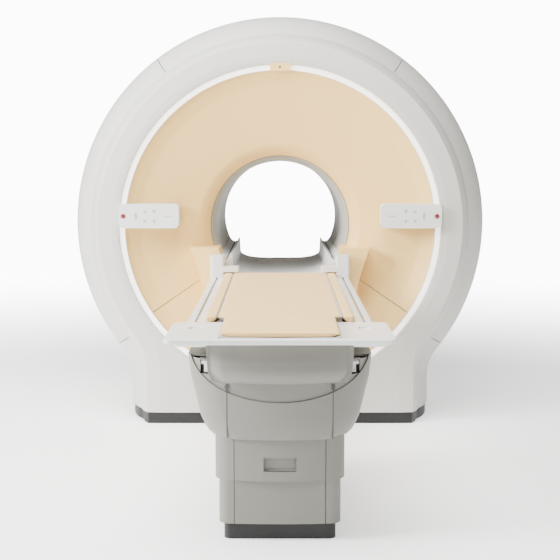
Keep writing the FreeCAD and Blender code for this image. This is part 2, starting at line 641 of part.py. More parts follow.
def lift_column():
    """Telescopic column in three stages, with its hydraulic ram and pump unit."""
    half = COLUMN_HALF
    arm_low, arm_high = MID_TOP - 33, MID_TOP - 3
    # the lowest stage ends below the middle stage's arms at the bottom of the lift
    stages = (("lower_column", PLATE_TOP, arm_low - LIFT / 2 - 10), ("middle_column", 160, MID_TOP),
              ("upper_column", 290, FRAME_LOW - FIT))
    reach = LOWER_HALF + SLEEVE_STEP - SLEEVE_WALL - FIT
    for name, low, high in stages:
        tube = square(half, low, high)
        if name == "middle_column":
            # welded arms carry the mid sleeve
            tube = tube.fuse(box(-reach, reach, PED_Y - 60, PED_Y + 60, arm_low, arm_high))
        inner = half - COLUMN_WALL
        save(name, tube.cut(square(inner, low - 1, high + 1)))
        half = inner - FIT
    low, high = PLATE_TOP + FIT, LOWER_TOP + 20
    cylinder = upright(RAM_R + 10, 0, PED_Y, low, high)
    save("lift_cylinder", cylinder.cut(upright(RAM_R + PIN_FIT, 0, PED_Y, low + 12, high + 1)))
    save("lift_rod", upright(RAM_R, 0, PED_Y, high - 110, FRAME_LOW - FIT))
    wall_y = PED_Y + COLUMN_HALF + FIT
    tank = box(-80, 80, wall_y, wall_y + 110, PLATE_TOP + FIT, 190)
    save("hydraulic_pump", tank.fuse(along(42, 0, wall_y + 110, wall_y + 250, 80)))


def floor_duct():
    """Cable duct on the floor between the pedestal and the magnet."""
    end = -RIDGE_Y + PLINTH_INSET + FIT
    start = PED_BACK_Y - 2 * KICK_INSET - 20
    outer = box(-DUCT_HALF, DUCT_HALF, start, -COVER_FACE_Y + PLINTH_INSET - FIT, 0, DUCT_HEIGHT)
    inner = box(-DUCT_HALF + 3, DUCT_HALF - 3, -4000, end, -1, DUCT_HEIGHT - 3)
    save("floor_duct", outer.cut(inner))


# ---- patient table: moving body -------------------------------------------------------------------
def body_solid(inset):
    """Table body: rounded in plan, narrowing downwards."""
    # the lowest edge clears the middle sleeve
    foot = LOWER_HALF + SLEEVE_STEP + 12
    levels = [(BODY_LOW, foot), (BODY_LOW + 20, foot + 20), (BODY_LOW + 47, foot + 34),
              (BODY_LOW + 70, foot + 45), (SKIRT_LOW, BODY_HALF - 9), (FRAME_LOW - FIT, BODY_HALF)]
    wires = []
    for z, half in levels:
        pull = (BODY_HALF - half) * BODY_PULL
        half -= inset
        front, back = BODY_FRONT_Y + pull + inset, PED_BACK_Y + 60 - pull - inset
        wires.append(rounded(-half, half, front, back, 110, z))
    return Part.makeLoft(wires, True, True)


def collar_cut(y0, y1, grow):
    """Elliptic cylinder along Y that cuts the U of the collar."""
    ellipse = Part.Ellipse(V(0, y0, COLLAR_Z), COLLAR_HALF + grow, COLLAR_DROP + grow)
    ellipse.Axis = V(0, -1, 0)
    ellipse.XAxis = V(1, 0, 0)
    face = Part.Face(Part.Wire(ellipse.toShape()))
    return face.extrude(V(0, y1 - y0, 0))


def table_body():
    top = FRAME_LOW - FIT
    outer = body_solid(0)
    room = body_solid(BODY_WALL).common(box(-500, 500, -4000, 0, BODY_LOW - 1, top - 8))
    shell = outer.cut(room).cut(box(-FRAME_HALF + 30, FRAME_HALF - 30, -4000, 0, top - 20, top + 1).common(
        box(-500, 500, BODY_FRONT_Y + 60, PED_BACK_Y, top - 20, top + 1)))
    around = SLEEVE_STEP + 4
    throat = block(-LOWER_HALF - around, LOWER_HALF + around, PED_FRONT_Y - around, PED_BACK_Y + around,
                   BODY_LOW - 1, BODY_LOW + 45, 40 + around)
    shell = shell.cut(throat)
    front_room = (BODY_FRONT_Y - 10, BODY_FRONT_Y + 90)
    shell = shell.cut(collar_cut(*front_room, 0))
    middle = box(-PANEL_SPLIT, PANEL_SPLIT, BODY_FRONT_Y - 10, BODY_FRONT_Y + 60, BODY_LOW - 1,
                 SKIRT_LOW + 20)
    seam = BODY_SEAM
    wide = box(-PANEL_SPLIT - seam, PANEL_SPLIT + seam, BODY_FRONT_Y - 10, BODY_FRONT_Y + 60 + seam,
               BODY_LOW - 1, SKIRT_LOW + 20)
    save("body_front_panel", shell.common(middle))
    rest = shell.cut(wide)
    halves = [rest.common(box(*side, -4000, 0, 0, 900)) for side in ((-500, -seam / 2), (seam / 2, 500))]
    save("body_covers", *halves)

    # collar: an inner shell that shows inside the U, with a recess for each release lever
    inset = BODY_WALL + FIT
    collar = body_solid(inset).cut(body_solid(inset + 4))
    low, high = COLLAR_Z - COLLAR_DROP - 14, top - 8 - FIT
    collar = collar.common(box(-500, 500, -4000, BODY_FRONT_Y + 130, low, high))
    for side in (-1, 1):
        x0, x1 = sorted([side * LEVER_IN, side * LEVER_OUT])
        pocket = box(x0 - 6, x1 + 6, BODY_FRONT_Y - 10, BODY_FRONT_Y + 62, LEVER_LOW - 6, LEVER_HIGH + 4)
        room = box(x0 - 3, x1 + 3, BODY_FRONT_Y - 11, BODY_FRONT_Y + 59, LEVER_LOW - 3, LEVER_HIGH + 1)
        cup = pocket.cut(room).common(body_solid(inset))
        pin = across(PIVOT_R, x0 - 4, x1 + 4, LEVER_Y, PIVOT_Z)
        collar = collar.cut(room).fuse(cup).fuse(pin)
    save("collar", collar.removeSplitter())
    levers()


def levers():
    """Release levers that hang on the pins across the collar's recesses."""
    blade = box(-LEVER_OUT, -LEVER_IN, LEVER_Y - 4, LEVER_Y + 4, LEVER_LOW + 2, PIVOT_Z)
    lever = blade.fuse(across(9, -LEVER_OUT, -LEVER_IN, LEVER_Y, PIVOT_Z))
    lever = lever.cut(across(PIVOT_R + PIN_FIT, -LEVER_OUT - 1, -LEVER_IN + 1, LEVER_Y, PIVOT_Z))
    pair("release_lever", lever.removeSplitter())


def skirt():
    """Convex apron below the near end of the table."""
    top = FLANGE_TOP - 12 - FIT
    levels = [(SKIRT_LOW, SKIRT_HALF - 22, 26), (SKIRT_LOW + 14, SKIRT_HALF - 16, 12),
              (660, SKIRT_HALF - 9, 3), (705, SKIRT_HALF - 4, 0), (top, SKIRT_HALF, 8)]

    def solid(inset):
        back = BODY_FRONT_Y + 150
        wires = [rounded(-half + inset, half - inset, SKIRT_FRONT_Y + pull + inset, back, 90, z)
                 for z, half, pull in levels]
        return Part.makeLoft(wires, True, True)

    apron = solid(0).cut(solid(BODY_WALL))
    floor = solid(0).common(box(-500, 500, -4000, 0, SKIRT_LOW, SKIRT_LOW + BODY_WALL))
    apron = apron.fuse(floor).common(box(-500, 500, -4000, BODY_FRONT_Y - FIT, 0, 900))
    save("table_skirt", apron.removeSplitter())


def table_frame():
    """Hollow beam under the tabletop, with flanges for the rails and a slot for the carriage."""
    near, far = TABLE_NEAR_Y + 160, TABLE_FAR_Y - 14
    deck = BOARD_LOW - FIT
    half = [(0, FRAME_LOW), (FRAME_HALF, FRAME_LOW), (FRAME_HALF, FLANGE_TOP - 12),
            (RAIL_OUT - 14, FLANGE_TOP - 12), (RAIL_OUT - 14, FLANGE_TOP), (FRAME_HALF, FLANGE_TOP),
            (FRAME_HALF, FLANGE_TOP + 22),
            (130, FLANGE_TOP + 22), (130, deck), (0, deck)]
    beam = prism_y(both_sides(half), near, far)
    inner = FRAME_HALF - FRAME_WALL
    beam = beam.cut(box(-inner, inner, near + 10, far - 10, FRAME_LOW + FRAME_WALL, FLANGE_TOP + 12))
    beam = beam.cut(box(-SLOT_HALF, SLOT_HALF, near - 1, far - 120, FLANGE_TOP, deck + 1))
    tip_half = [(0, FLANGE_TOP - 12), (WING_OUT - 40, FLANGE_TOP - 12), (WING_OUT - 40, FLANGE_TOP),
                (0, FLANGE_TOP)]
    tip = prism_y(both_sides(tip_half), TABLE_NEAR_Y + 60, WING_REAR_Y)
    tip = tip.cut(box(-inner, inner, near + 10, 0, 700, 900))
    guide = box(-12, 12, near + 20, far - 20, FRAME_LOW + FRAME_WALL, FRAME_LOW + FRAME_WALL + 16)
    save("table_frame", beam.fuse(tip).fuse(guide).removeSplitter())
    low = FRAME_LOW + FRAME_WALL + 4
    carriage = box(-SLOT_HALF + 2, SLOT_HALF - 2, near + 30, near + 170, low, BOARD_LOW - FIT)
    rail = box(-12 - FIT, 12 + FIT, near, near + 200, low - 1, FRAME_LOW + FRAME_WALL + 16 + FIT)
    save("carriage", carriage.cut(rail))
    # toothed belt along one side of the beam
    belt_x = 60.0
    pulley_r = 20.0
    z = FRAME_LOW + FRAME_WALL + 26
    ends = (near + 60, far - 170)
    outline = stadium(belt_x, ends, z, pulley_r + 2.5, 10).cut(stadium(belt_x, ends, z, pulley_r + FIT, 12))
    save("drive_belt", outline)
    for name, y in zip(("idler_pulley", "drive_pulley"), ends):
        wheel = across(pulley_r, belt_x - 10, belt_x + 10, y, z)
        save(name, wheel.cut(across(SHAFT_R + PIN_FIT, belt_x - 11, belt_x + 11, y, z)))
    save("pulley_shafts", *[across(SHAFT_R, belt_x - 18, FRAME_HALF - FRAME_WALL - FIT, y, z) for y in ends])
    save("drive_motor", across(30, belt_x + 60, belt_x + 170, ends[1] - 0, z + 4).cut(
        across(SHAFT_R + FIT, belt_x, belt_x + 200, ends[1], z)))


def stadium(x, ends, z, r, half_width):
    """Slab round two ends that lie along Y."""
    slab = box(x - half_width, x + half_width, ends[0], ends[1], z - r, z + r)
    for y in ends:
        slab = slab.fuse(across(r, x - half_width, x + half_width, y, z))
    return slab.removeSplitter()


def tabletop():
    near, far = TABLE_NEAR_Y + 15, TABLE_FAR_Y - 13
    low = BOARD_LOW
    edge = BOARD_HALF
    dish = [(0, low + 14), (200, low + 17), (232, low + 24), (edge - 1, low + 32)]
    board = [(0, low), (130, low), (205, low + 10), (edge, low + 30), (edge, low + 32)] + dish[::-1]
    pad = [(x, z + FIT) for x, z in dish] + [(edge - 1, MATTRESS_TOP), (0, MATTRESS_TOP)]
    # the near end is narrower, between the wings
    trim = WING_IN - PAD_GAP
    corners = [box(trim, 300, near - 1, WING_REAR_Y + PAD_GAP, 700, 900)]
    corners.append(mirrored(corners[0]))
    for name, half in (("tabletop_board", board), ("mattress", pad)):
        body = prism_y(both_sides(half), near, far)
        for corner in corners:
            body = body.cut(corner)
        save(name, body)


def table_sides():
    """Rails, arm pads, wings and far blocks, each a left piece and its mirror image."""
    rail = box(-RAIL_OUT, -RAIL_IN, WING_REAR_Y + 1, TABLE_FAR_Y, FLANGE_TOP, RAIL_TOP)
    groove = box(-338, -328, WING_REAR_Y, TABLE_FAR_Y + 1, RAIL_TOP - 10, RAIL_TOP + 1)
    both("side_rails", rail.cut(groove))
    inner = BOARD_HALF + PAD_GAP
    outline = [(-FRAME_HALF - FIT, FLANGE_TOP + FIT), (-FRAME_HALF - FIT, FLANGE_TOP + 30),
               (-inner, FLANGE_TOP + 44), (-inner, MATTRESS_TOP), (-RAIL_IN + FIT, MATTRESS_TOP),
               (-RAIL_IN + FIT, FLANGE_TOP + FIT)]
    both("arm_pads", prism_y(outline, WING_REAR_Y + 1, TABLE_FAR_Y - 13))
    wing = block(-WING_OUT, -WING_IN, TABLE_NEAR_Y, WING_REAR_Y, FLANGE_TOP + 24, RAIL_TOP, 26)
    foot = block(-WING_OUT + 30, -FRAME_HALF - 6, TABLE_NEAR_Y + 90, WING_REAR_Y - 30, FLANGE_TOP + FIT,
                 FLANGE_TOP + 24, 20)
    wing = wing.fuse(foot)
    recess = block(-345, -300, TABLE_NEAR_Y + 270, TABLE_NEAR_Y + 330, RAIL_TOP - 8, RAIL_TOP + 1, 10)
    both("table_wings", wing.cut(recess).removeSplitter())
    far = (TABLE_FAR_Y - 73, TABLE_FAR_Y - 6)
    post = block(-RAIL_OUT - 4, -RAIL_IN, *far, RAIL_TOP + FIT, BLOCK_TOP, 14)
    arm = block(-RAIL_IN - 20, -218, *far, BLOCK_LOW, BLOCK_LOW + 30, 9)
    both("end_blocks", post.fuse(arm).removeSplitter())


# ---- build ----------------------------------------------------------------------------------------
os.makedirs("parts", exist_ok=True)
shells()
save("front_fascia", fascia(LIP_R, -1))
save("rear_fascia", fascia(REAR_LIP_R, 1))
save("cover_frames", cover_frame(-1), cover_frame(1))
plinth()
funnels()
light_ring()
bridge()
dock_pod()
control_panels()
magnet()
coils_in_bore()
magnet_base()
pedestal()
lift_column()
floor_duct()
table_body()
skirt()
table_frame()
tabletop()
table_sides()
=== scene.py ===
"""Finished surfaces for a whole-body magnetic resonance scanner: covers, lit funnel, bore and patient table.

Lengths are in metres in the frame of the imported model: Z = 0 is the floor, Y = 0 the isocentre, and +Y runs
along the bore away from the patient table. Run as a script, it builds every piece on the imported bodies.
"""

import json
from math import pi, radians

import bmesh
import bpy
import numpy as np
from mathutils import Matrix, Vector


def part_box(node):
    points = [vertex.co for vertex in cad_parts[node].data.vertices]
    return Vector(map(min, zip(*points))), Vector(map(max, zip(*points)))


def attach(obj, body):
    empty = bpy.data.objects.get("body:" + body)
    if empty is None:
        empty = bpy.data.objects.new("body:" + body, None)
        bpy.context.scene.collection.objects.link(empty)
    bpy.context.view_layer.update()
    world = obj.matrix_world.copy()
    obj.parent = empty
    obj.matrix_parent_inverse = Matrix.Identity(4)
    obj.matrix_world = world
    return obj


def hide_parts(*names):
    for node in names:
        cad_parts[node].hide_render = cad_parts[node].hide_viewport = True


bl_info = {
    "name": "Magnetic resonance scanner",
    "version": (1, 0, 0),
    "blender": (4, 5, 0),
    "location": "View3D > Sidebar > Scanner",
    "description": "Builds the covers, bore and patient table of a magnetic resonance scanner",
    "category": "Add Mesh",
}

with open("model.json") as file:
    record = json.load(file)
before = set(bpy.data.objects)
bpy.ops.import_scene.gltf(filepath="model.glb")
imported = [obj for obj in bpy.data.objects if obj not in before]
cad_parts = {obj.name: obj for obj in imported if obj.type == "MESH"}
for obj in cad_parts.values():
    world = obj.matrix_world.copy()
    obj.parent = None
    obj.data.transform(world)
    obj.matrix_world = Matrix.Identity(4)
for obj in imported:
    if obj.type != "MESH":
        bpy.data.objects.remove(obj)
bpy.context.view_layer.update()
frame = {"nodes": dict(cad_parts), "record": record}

# ---- places that come from the frame --------------------------------------------------------------
TUBE_LOW, TUBE_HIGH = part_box("patient_tube")
AXIS_Z = (TUBE_LOW[2] + TUBE_HIGH[2]) / 2
COVER_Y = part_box("rear_fascia")[1][1] - 0.0003       # front and rear faces of the covers
BARREL_R = (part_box("side_shells")[1][0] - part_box("side_shells")[0][0]) / 2
PLINTH_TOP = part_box("plinth")[1][2]
BRIDGE_LOW, BRIDGE_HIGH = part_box("bridge")
PANEL_LOW, PANEL_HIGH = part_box("control_panels")
BODY_LOW, BODY_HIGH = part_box("body_covers")
MID_LOW, MID_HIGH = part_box("mid_sleeve")
LOWER_LOW, LOWER_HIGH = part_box("lower_sleeve")
KICK_LOW, KICK_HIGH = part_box("base_kickboard")
SKIRT_LOW, SKIRT_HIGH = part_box("table_skirt")
RAIL_LOW, RAIL_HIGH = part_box("side_rails")
WING_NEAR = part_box("table_wings")[0][1]
PAD_LOW, PAD_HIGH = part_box("mattress")
ARM_LOW, ARM_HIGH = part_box("arm_pads")


# ---- mesh helpers ---------------------------------------------------------------------------------
def grid_faces(rows, cols, offset=0, around=False):
    """Quad indices of a rows x cols grid; around joins the last column to the first."""
    i = np.arange(rows - 1)[:, None]
    j = np.arange(cols if around else cols - 1)[None, :]
    k = (j + 1) % cols
    quads = np.stack([i * cols + j, i * cols + k, (i + 1) * cols + k, (i + 1) * cols + j], axis=-1)
    return quads.reshape(-1, 4) + offset


def add_object(name, data):
    """A new object in the scene."""
    piece = bpy.data.objects.new(name, data)
    bpy.context.collection.objects.link(piece)
    return piece


def shade(mesh, degrees):
    """Smooth shading, kept sharp where faces meet at more than an angle."""
    mesh.polygons.foreach_set("use_smooth", np.ones(len(mesh.polygons), bool))
    mesh.set_sharp_from_angle(angle=radians(degrees))


def read_points(mesh):
    """Vertex places as (n, 3)."""
    points = np.empty(len(mesh.vertices) * 3)
    mesh.vertices.foreach_get("co", points)
    return points.reshape(-1, 3)


def write_points(mesh, points):
    mesh.vertices.foreach_set("co", points.ravel())
    mesh.update()


def make_piece(name, points, faces, body, slot, material, replaces=(), smooth=35.0):
    """One object from an (n, 3) array and a list of faces, with outward normals, on a CAD body."""
    mesh = bpy.data.meshes.new(name)
    points = np.asarray(points, float).reshape(-1, 3).tolist()
    mesh.from_pydata(points, [], [list(map(int, face)) for face in faces])
    work = bmesh.new()
    work.from_mesh(mesh)
    bmesh.ops.remove_doubles(work, verts=work.verts, dist=1e-6)
    bmesh.ops.recalc_face_normals(work, faces=work.faces)
    work.to_mesh(mesh)
    work.free()
    shade(mesh, smooth)
    mesh.materials.append(material)
    piece = add_object(name, mesh)
    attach(piece, body)
    for node in replaces:
        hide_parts(node)
    return piece


def soften(piece, width, segments=3, angle=40.0):
    """Rounds a piece's sharp edges, as a mould's parting edge is."""
    bevel = piece.modifiers.new("edge radius", "BEVEL")
    bevel.width = width
    bevel.segments = segments
    bevel.limit_method = "ANGLE"
    bevel.angle_limit = radians(angle)
    bevel.use_clamp_overlap = True
    bevel.harden_normals = False
    even = piece.modifiers.new("even shading", "WEIGHTED_NORMAL")
    even.keep_sharp = False
    even.weight = 60
    return piece


def merge_parts(parts):
    """Joins (points, faces) pairs into one pair."""
    points, faces, start = [], [], 0
    for part_points, part_faces in parts:
        part_points = np.asarray(part_points, float).reshape(-1, 3)
        points.append(part_points)
        faces += [[int(i) + start for i in face] for face in part_faces]
        start += len(part_points)
    return np.concatenate(points), faces


def mirrored_part(part):
    """The same part on the other side of the plane of symmetry."""
    points = np.asarray(part[0], float).reshape(-1, 3) * (-1, 1, 1)
    return points, [list(face)[::-1] for face in part[1]]


def swept_part(loops):
    """Solid through closed loops of the same length, given as (rows, n, 3), with flat end faces."""
    rows, cols = loops.shape[:2]
    faces = [list(face) for face in grid_faces(rows, cols, 0, True)]
    faces.append(list(range(cols))[::-1])
    faces.append([(rows - 1) * cols + i for i in range(cols)])
    return loops.reshape(-1, 3), faces


def prism_part(outline, low, high, axis="y"):
    """Straight solid of a closed (a, b) outline: (x, z) along Y, (x, y) along Z or (y, z) along X."""
    outline = np.asarray(outline, float)
    order = {"y": (0, None, 1), "z": (0, 1, None), "x": (None, 0, 1)}[axis]
    loops = np.zeros((2, len(outline), 3))
    for row, level in enumerate((low, high)):
        for column, source in enumerate(order):
            loops[row, :, column] = level if source is None else outline[:, source]
    return swept_part(loops)


def rounded_outline(x0, x1, y0, y1, radius, steps=6):
    """Closed outline of a rounded rectangle: four quarter circles joined by straight sides."""
    turn = np.linspace(0, pi / 2, steps)
    radius = np.broadcast_to(radius, 4)
    corners = [(x1, y0, -pi / 2, -1, 1), (x1, y1, 0, -1, -1), (x0, y1, pi / 2, 1, -1), (x0, y0, pi, 1, 1)]
    arcs = []
    for (x, y, start, sx, sy), r in zip(corners, radius):
        across, along = x + sx * r + r * np.cos(start + turn), y + sy * r + r * np.sin(start + turn)
        arcs.append(np.stack([across, along], axis=-1))
    return np.concatenate(arcs)


def smooth_through(values, xs, ys):
    """Cubic curve through (xs, ys) with slopes taken from the neighbours, read at the given values."""
    xs, ys = np.asarray(xs, float), np.asarray(ys, float)
    slope = np.gradient(ys, xs)
    i = np.clip(np.searchsorted(xs, values, side="right") - 1, 0, len(xs) - 2)
    step = xs[i + 1] - xs[i]
    t = (values - xs[i]) / step
    a = 2 * t ** 3 - 3 * t ** 2 + 1
    b = t ** 3 - 2 * t ** 2 + t
    c = -2 * t ** 3 + 3 * t ** 2
    d = t ** 3 - t ** 2
    return a * ys[i] + b * step * slope[i] + c * ys[i + 1] + d * step * slope[i + 1]


def turned_grid(profile, angles):
    """Surface of revolution about the bore: each (r, y) point turns through angles from the vertical."""
    r, y = np.asarray(profile, float).T[:, :, None]
    a = np.asarray(angles, float)[None, :]
    x = r * np.sin(a)
    z = AXIS_Z + r * np.cos(a)
    return np.stack([x, np.broadcast_to(y, x.shape), z], axis=-1)


# ---- materials ------------------------------------------------------------------------------------
def linear(code):
    """sRGB hex to linear RGBA."""
    value = np.array([int(code[i:i + 2], 16) for i in (1, 3, 5)]) / 255
    value = np.where(value <= 0.04045, value / 12.92, ((value + 0.055) / 1.055) ** 2.4)
    return (*[float(v) for v in value], 1.0)


def add_node(tree, kind, inputs=None, **settings):
    """Adds a node, sets its properties, and sets or links its inputs."""
    node = tree.nodes.new(kind)
    for key, value in settings.items():
        setattr(node, key, value)
    for key, value in (inputs or {}).items():
        if isinstance(value, bpy.types.NodeSocket):
            tree.links.new(value, node.inputs[key])
        else:
            node.inputs[key].default_value = value
    return node


def new_material(name, **shader):
    """An empty node material with a Principled shader, and object coordinates to build patterns on."""
    material = bpy.data.materials.new(name)
    material.use_nodes = True
    tree = material.node_tree
    tree.nodes.clear()
    surface = add_node(tree, "ShaderNodeBsdfPrincipled", shader)
    add_node(tree, "ShaderNodeOutputMaterial", {"Surface": surface.outputs["BSDF"]})
    place = add_node(tree, "ShaderNodeTexCoord").outputs["Object"]
    return material, tree, surface, place


def connect(tree, source, node, socket):
    tree.links.new(source, node.inputs[socket])


def per_metre(millimetres):
    """Pattern scale whose features are this many millimetres across."""
    return 1000.0 / millimetres


def noise(tree, place, size_mm, detail):
    return add_node(tree, "ShaderNodeTexNoise",
                    {"Vector": place, "Scale": per_metre(size_mm), "Detail": detail})


def spread_over(tree, pattern, low, high, surface, socket):
    """Stretches the middle of a noise pattern over a range, and feeds it to a socket of the shader."""
    ranged = add_node(tree, "ShaderNodeMapRange", {"Value": pattern.outputs["Fac"], "From Min": 0.3,
                                                   "From Max": 0.7, "To Min": low, "To Max": high})
    connect(tree, ranged.outputs["Result"], surface, socket)


def varied_colour(tree, place, code, size_mm, amount):
    """A colour that drifts by a small amount over patches of the given size."""
    cloud = noise(tree, place, size_mm, 3.0)
    base = linear(code)
    dark = tuple(c * (1 - amount) for c in base[:3]) + (1.0,)
    light = tuple(min(1.0, c * (1 + amount)) for c in base[:3]) + (1.0,)
    mix = add_node(tree, "ShaderNodeMix", {"Factor": cloud.outputs["Fac"], "A": dark, "B": light},
                   data_type="RGBA")
    return mix.outputs["Result"]


def moulded(name, code, roughness=0.38, peel_mm=2.2, peel=0.02, coat=0.0, drift=0.012, **shader):
    """Moulded and sprayed plastic: satin, with a faint orange peel and a slow drift in tone and gloss."""
    sockets = {"IOR": 1.49, "Coat Weight": coat, "Coat Roughness": 0.15, **shader}
    material, tree, surface, place = new_material(name, **sockets)
    connect(tree, varied_colour(tree, place, code, 600.0, drift), surface, "Base Color")
    cloud = noise(tree, place, 90.0, 4.0)
    spread_over(tree, cloud, roughness - 0.03, roughness + 0.04, surface, "Roughness")
    grain = noise(tree, place, peel_mm, 2.0)
    bump = add_node(tree, "ShaderNodeBump", {"Height": grain.outputs["Fac"], "Strength": peel,
                                              "Distance": 0.001})
    connect(tree, bump.outputs["Normal"], surface, "Normal")
    return material


def coated_foam(name, code):
    """Polyurethane-coated foam: soft sheen, with the fine pebble of coated cloth and broad soft waves."""
    sockets = {"IOR": 1.45, "Sheen Weight": 0.12, "Sheen Roughness": 0.5}
    material, tree, surface, place = new_material(name, **sockets)
    connect(tree, varied_colour(tree, place, code, 180.0, 0.025), surface, "Base Color")
    pebble = add_node(tree, "ShaderNodeTexVoronoi", {"Vector": place, "Scale": per_metre(3.0)})
    wave = noise(tree, place, 120.0, 2.0)
    spread_over(tree, wave, 0.50, 0.60, surface, "Roughness")
    fine = add_node(tree, "ShaderNodeBump", {"Height": pebble.outputs["Distance"], "Strength": 0.12,
                                              "Distance": 0.0006})
    broad = add_node(tree, "ShaderNodeBump", {"Height": wave.outputs["Fac"], "Strength": 0.18,
                                               "Distance": 0.004, "Normal": fine.outputs["Normal"]})
    connect(tree, broad.outputs["Normal"], surface, "Normal")
    return material


def lit_acrylic(name, code, power):
    """Opal acrylic over a strip of lamps: an even glow with a slight ripple from lamp to lamp."""
    material, tree, surface, place = new_material(name, **{"Roughness": 0.3, "Emission Color": linear(code)})
    connect(tree, varied_colour(tree, place, code, 60.0, 0.01), surface, "Base Color")
    ripple = noise(tree, place, 25.0, 1.0)
    spread_over(tree, ripple, power * 0.96, power * 1.04, surface, "Emission Strength")
    return material


def worked_metal(name, code, roughness, scratch_mm, stretch=(1.0, 1.0, 14.0), strength=0.12):
    """Brushed, milled or drawn metal: fine lines along one way, in its gloss and in its relief."""
    material, tree, surface, place = new_material(name, **{"Metallic": 1.0})
    connect(tree, varied_colour(tree, place, code, 200.0, 0.03), surface, "Base Color")
    drawn = add_node(tree, "ShaderNodeMapping", {"Vector": place, "Scale": stretch})
    lines = noise(tree, drawn.outputs["Vector"], scratch_mm, 4.0)
    spread_over(tree, lines, roughness - 0.06, roughness + 0.08, surface, "Roughness")
    bump = add_node(tree, "ShaderNodeBump", {"Height": lines.outputs["Fac"], "Strength": strength,
                                              "Distance": 0.0003})
    connect(tree, bump.outputs["Normal"], surface, "Normal")
    return material


# ---- mesh helpers for covers and fittings ---------------------------------------------------------
def rounded_path(points, cuts, steps=6):
    """Open path whose inner corners are parabolas: each starts and ends the given cut from its corner."""
    points = np.asarray(points, float)
    cuts = np.broadcast_to(cuts, len(points) - 2)
    t = np.linspace(0, 1, steps)[:, None]
    path = [points[:1]]
    for before, corner, after, cut in zip(points, points[1:], points[2:], cuts):
        start = corner + (before - corner) * min(0.5, cut / np.linalg.norm(before - corner))
        end = corner + (after - corner) * min(0.5, cut / np.linalg.norm(after - corner))
        path.append((1 - t) ** 2 * start + 2 * t * (1 - t) * corner + t ** 2 * end)
    return np.concatenate(path + [points[-1:]])


def rounded_loop(points, cuts, steps=5):
    """Closed outline with the same parabolas at all its corners."""
    points = np.asarray(points, float)
    middle = (points[-1] + points[0]) / 2
    cuts = np.broadcast_to(cuts, len(points))
    path = rounded_path(np.concatenate([[middle], points, [middle]]), cuts, steps)
    return path[:-1]


def face_away(piece, centre, inward=False):
    """Turns a whole open surface so that its faces look away from a point, or towards it."""
    mesh = piece.data
    count = len(mesh.polygons)
    normal, middle, area = np.empty(count * 3), np.empty(count * 3), np.empty(count)
    mesh.polygons.foreach_get("normal", normal)
    mesh.polygons.foreach_get("center", middle)
    mesh.polygons.foreach_get("area", area)
    outwards = np.sum(normal.reshape(-1, 3) * (middle.reshape(-1, 3) - centre), axis=1) @ area
    if (outwards < 0) != inward:
        mesh.flip_normals()


def sheet_piece(name, parts, wall, away=(0.0, 0.0, AXIS_Z), inward=False, edge=0.0012, **where):
    """Moulded sheet: an open surface facing away from a point, given its wall behind it and soft edges."""
    points, faces = merge_parts(parts)
    piece = make_piece(name, points, faces, **where)
    face_away(piece, np.asarray(away, float), inward)
    solid = piece.modifiers.new("wall", "SOLIDIFY")
    solid.thickness = wall
    solid.offset = -1.0
    return soften(piece, edge, 2)


def turned_solid(profile, steps=192):
    """Solid ring of a closed (r, y) profile turned about the bore."""
    angles = np.linspace(0, 2 * pi, steps, endpoint=False)
    grid = turned_grid(profile, angles)
    grid = np.concatenate([grid, grid[:1]])
    return grid.reshape(-1, 3), grid_faces(len(grid), steps, 0, True)


def edged_copy(name, node, body, slot, material, width=0.002, segments=3, flat=0.6, crease=33.0, rows=0):
    """The CAD piece with its triangles joined into whole faces and its edges rounded."""
    mesh = frame["nodes"][node].data.copy()
    mesh.name = name
    work = bmesh.new()
    work.from_mesh(mesh)
    bmesh.ops.remove_doubles(work, verts=work.verts, dist=2e-5)
    bmesh.ops.dissolve_degenerate(work, dist=1e-5, edges=work.edges)
    bmesh.ops.dissolve_limit(work, angle_limit=radians(flat), verts=work.verts, edges=work.edges)
    for x in np.linspace(-0.34, 0.34, rows or 1)[:rows]:
        bmesh.ops.bisect_plane(work, geom=work.verts[:] + work.edges[:] + work.faces[:], plane_co=(x, 0, 0),
                               plane_no=(1, 0, 0))
    work.to_mesh(mesh)
    work.free()
    shade(mesh, crease)
    mesh.materials.clear()
    mesh.materials.append(material)
    piece = add_object(name, mesh)
    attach(piece, body)
    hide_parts(node)
    return soften(piece, width, segments, crease)


def apply_modifiers(piece):
    """Turns a piece's modifiers into its mesh."""
    depsgraph = bpy.context.evaluated_depsgraph_get()
    mesh = bpy.data.meshes.new_from_object(piece.evaluated_get(depsgraph))
    old = piece.data
    piece.modifiers.clear()
    piece.data = mesh
    bpy.data.meshes.remove(old)


def carve(piece, parts):
    """Cuts the (points, faces) parts out of a piece."""
    points, faces = merge_parts(parts)
    mesh = bpy.data.meshes.new("cutter")
    mesh.from_pydata(points.tolist(), [], faces)
    work = bmesh.new()
    work.from_mesh(mesh)
    bmesh.ops.recalc_face_normals(work, faces=work.faces)
    work.to_mesh(mesh)
    work.free()
    cutter = add_object("cutter", mesh)
    cut = piece.modifiers.new("cut", "BOOLEAN")
    cut.operation = "DIFFERENCE"
    cut.solver = "EXACT"
    cut.object = cutter
    apply_modifiers(piece)
    bpy.data.objects.remove(cutter)
    piece.data.set_sharp_from_angle(angle=radians(33.0))


def bow(piece, depth=0.080, reach=0.45):
    """Curves the front of a table piece: it draws back with the square of the distance from the middle."""
    points = read_points(piece.data)
    share = np.clip((BODY_LOW[1] + reach - points[:, 1]) / reach, 0, 1)
    points[:, 1] += depth * (points[:, 0] / BODY_HIGH[0]) ** 2 * share
    write_points(piece.data, points)
    return piece


# ---- surfaces of the covers -----------------------------------------------------------------------
WALL = 0.008                         # moulded covers
SEAM = 0.004                         # shadow gap between covers
CREASE_Y = 0.684                     # where the shells meet the end covers
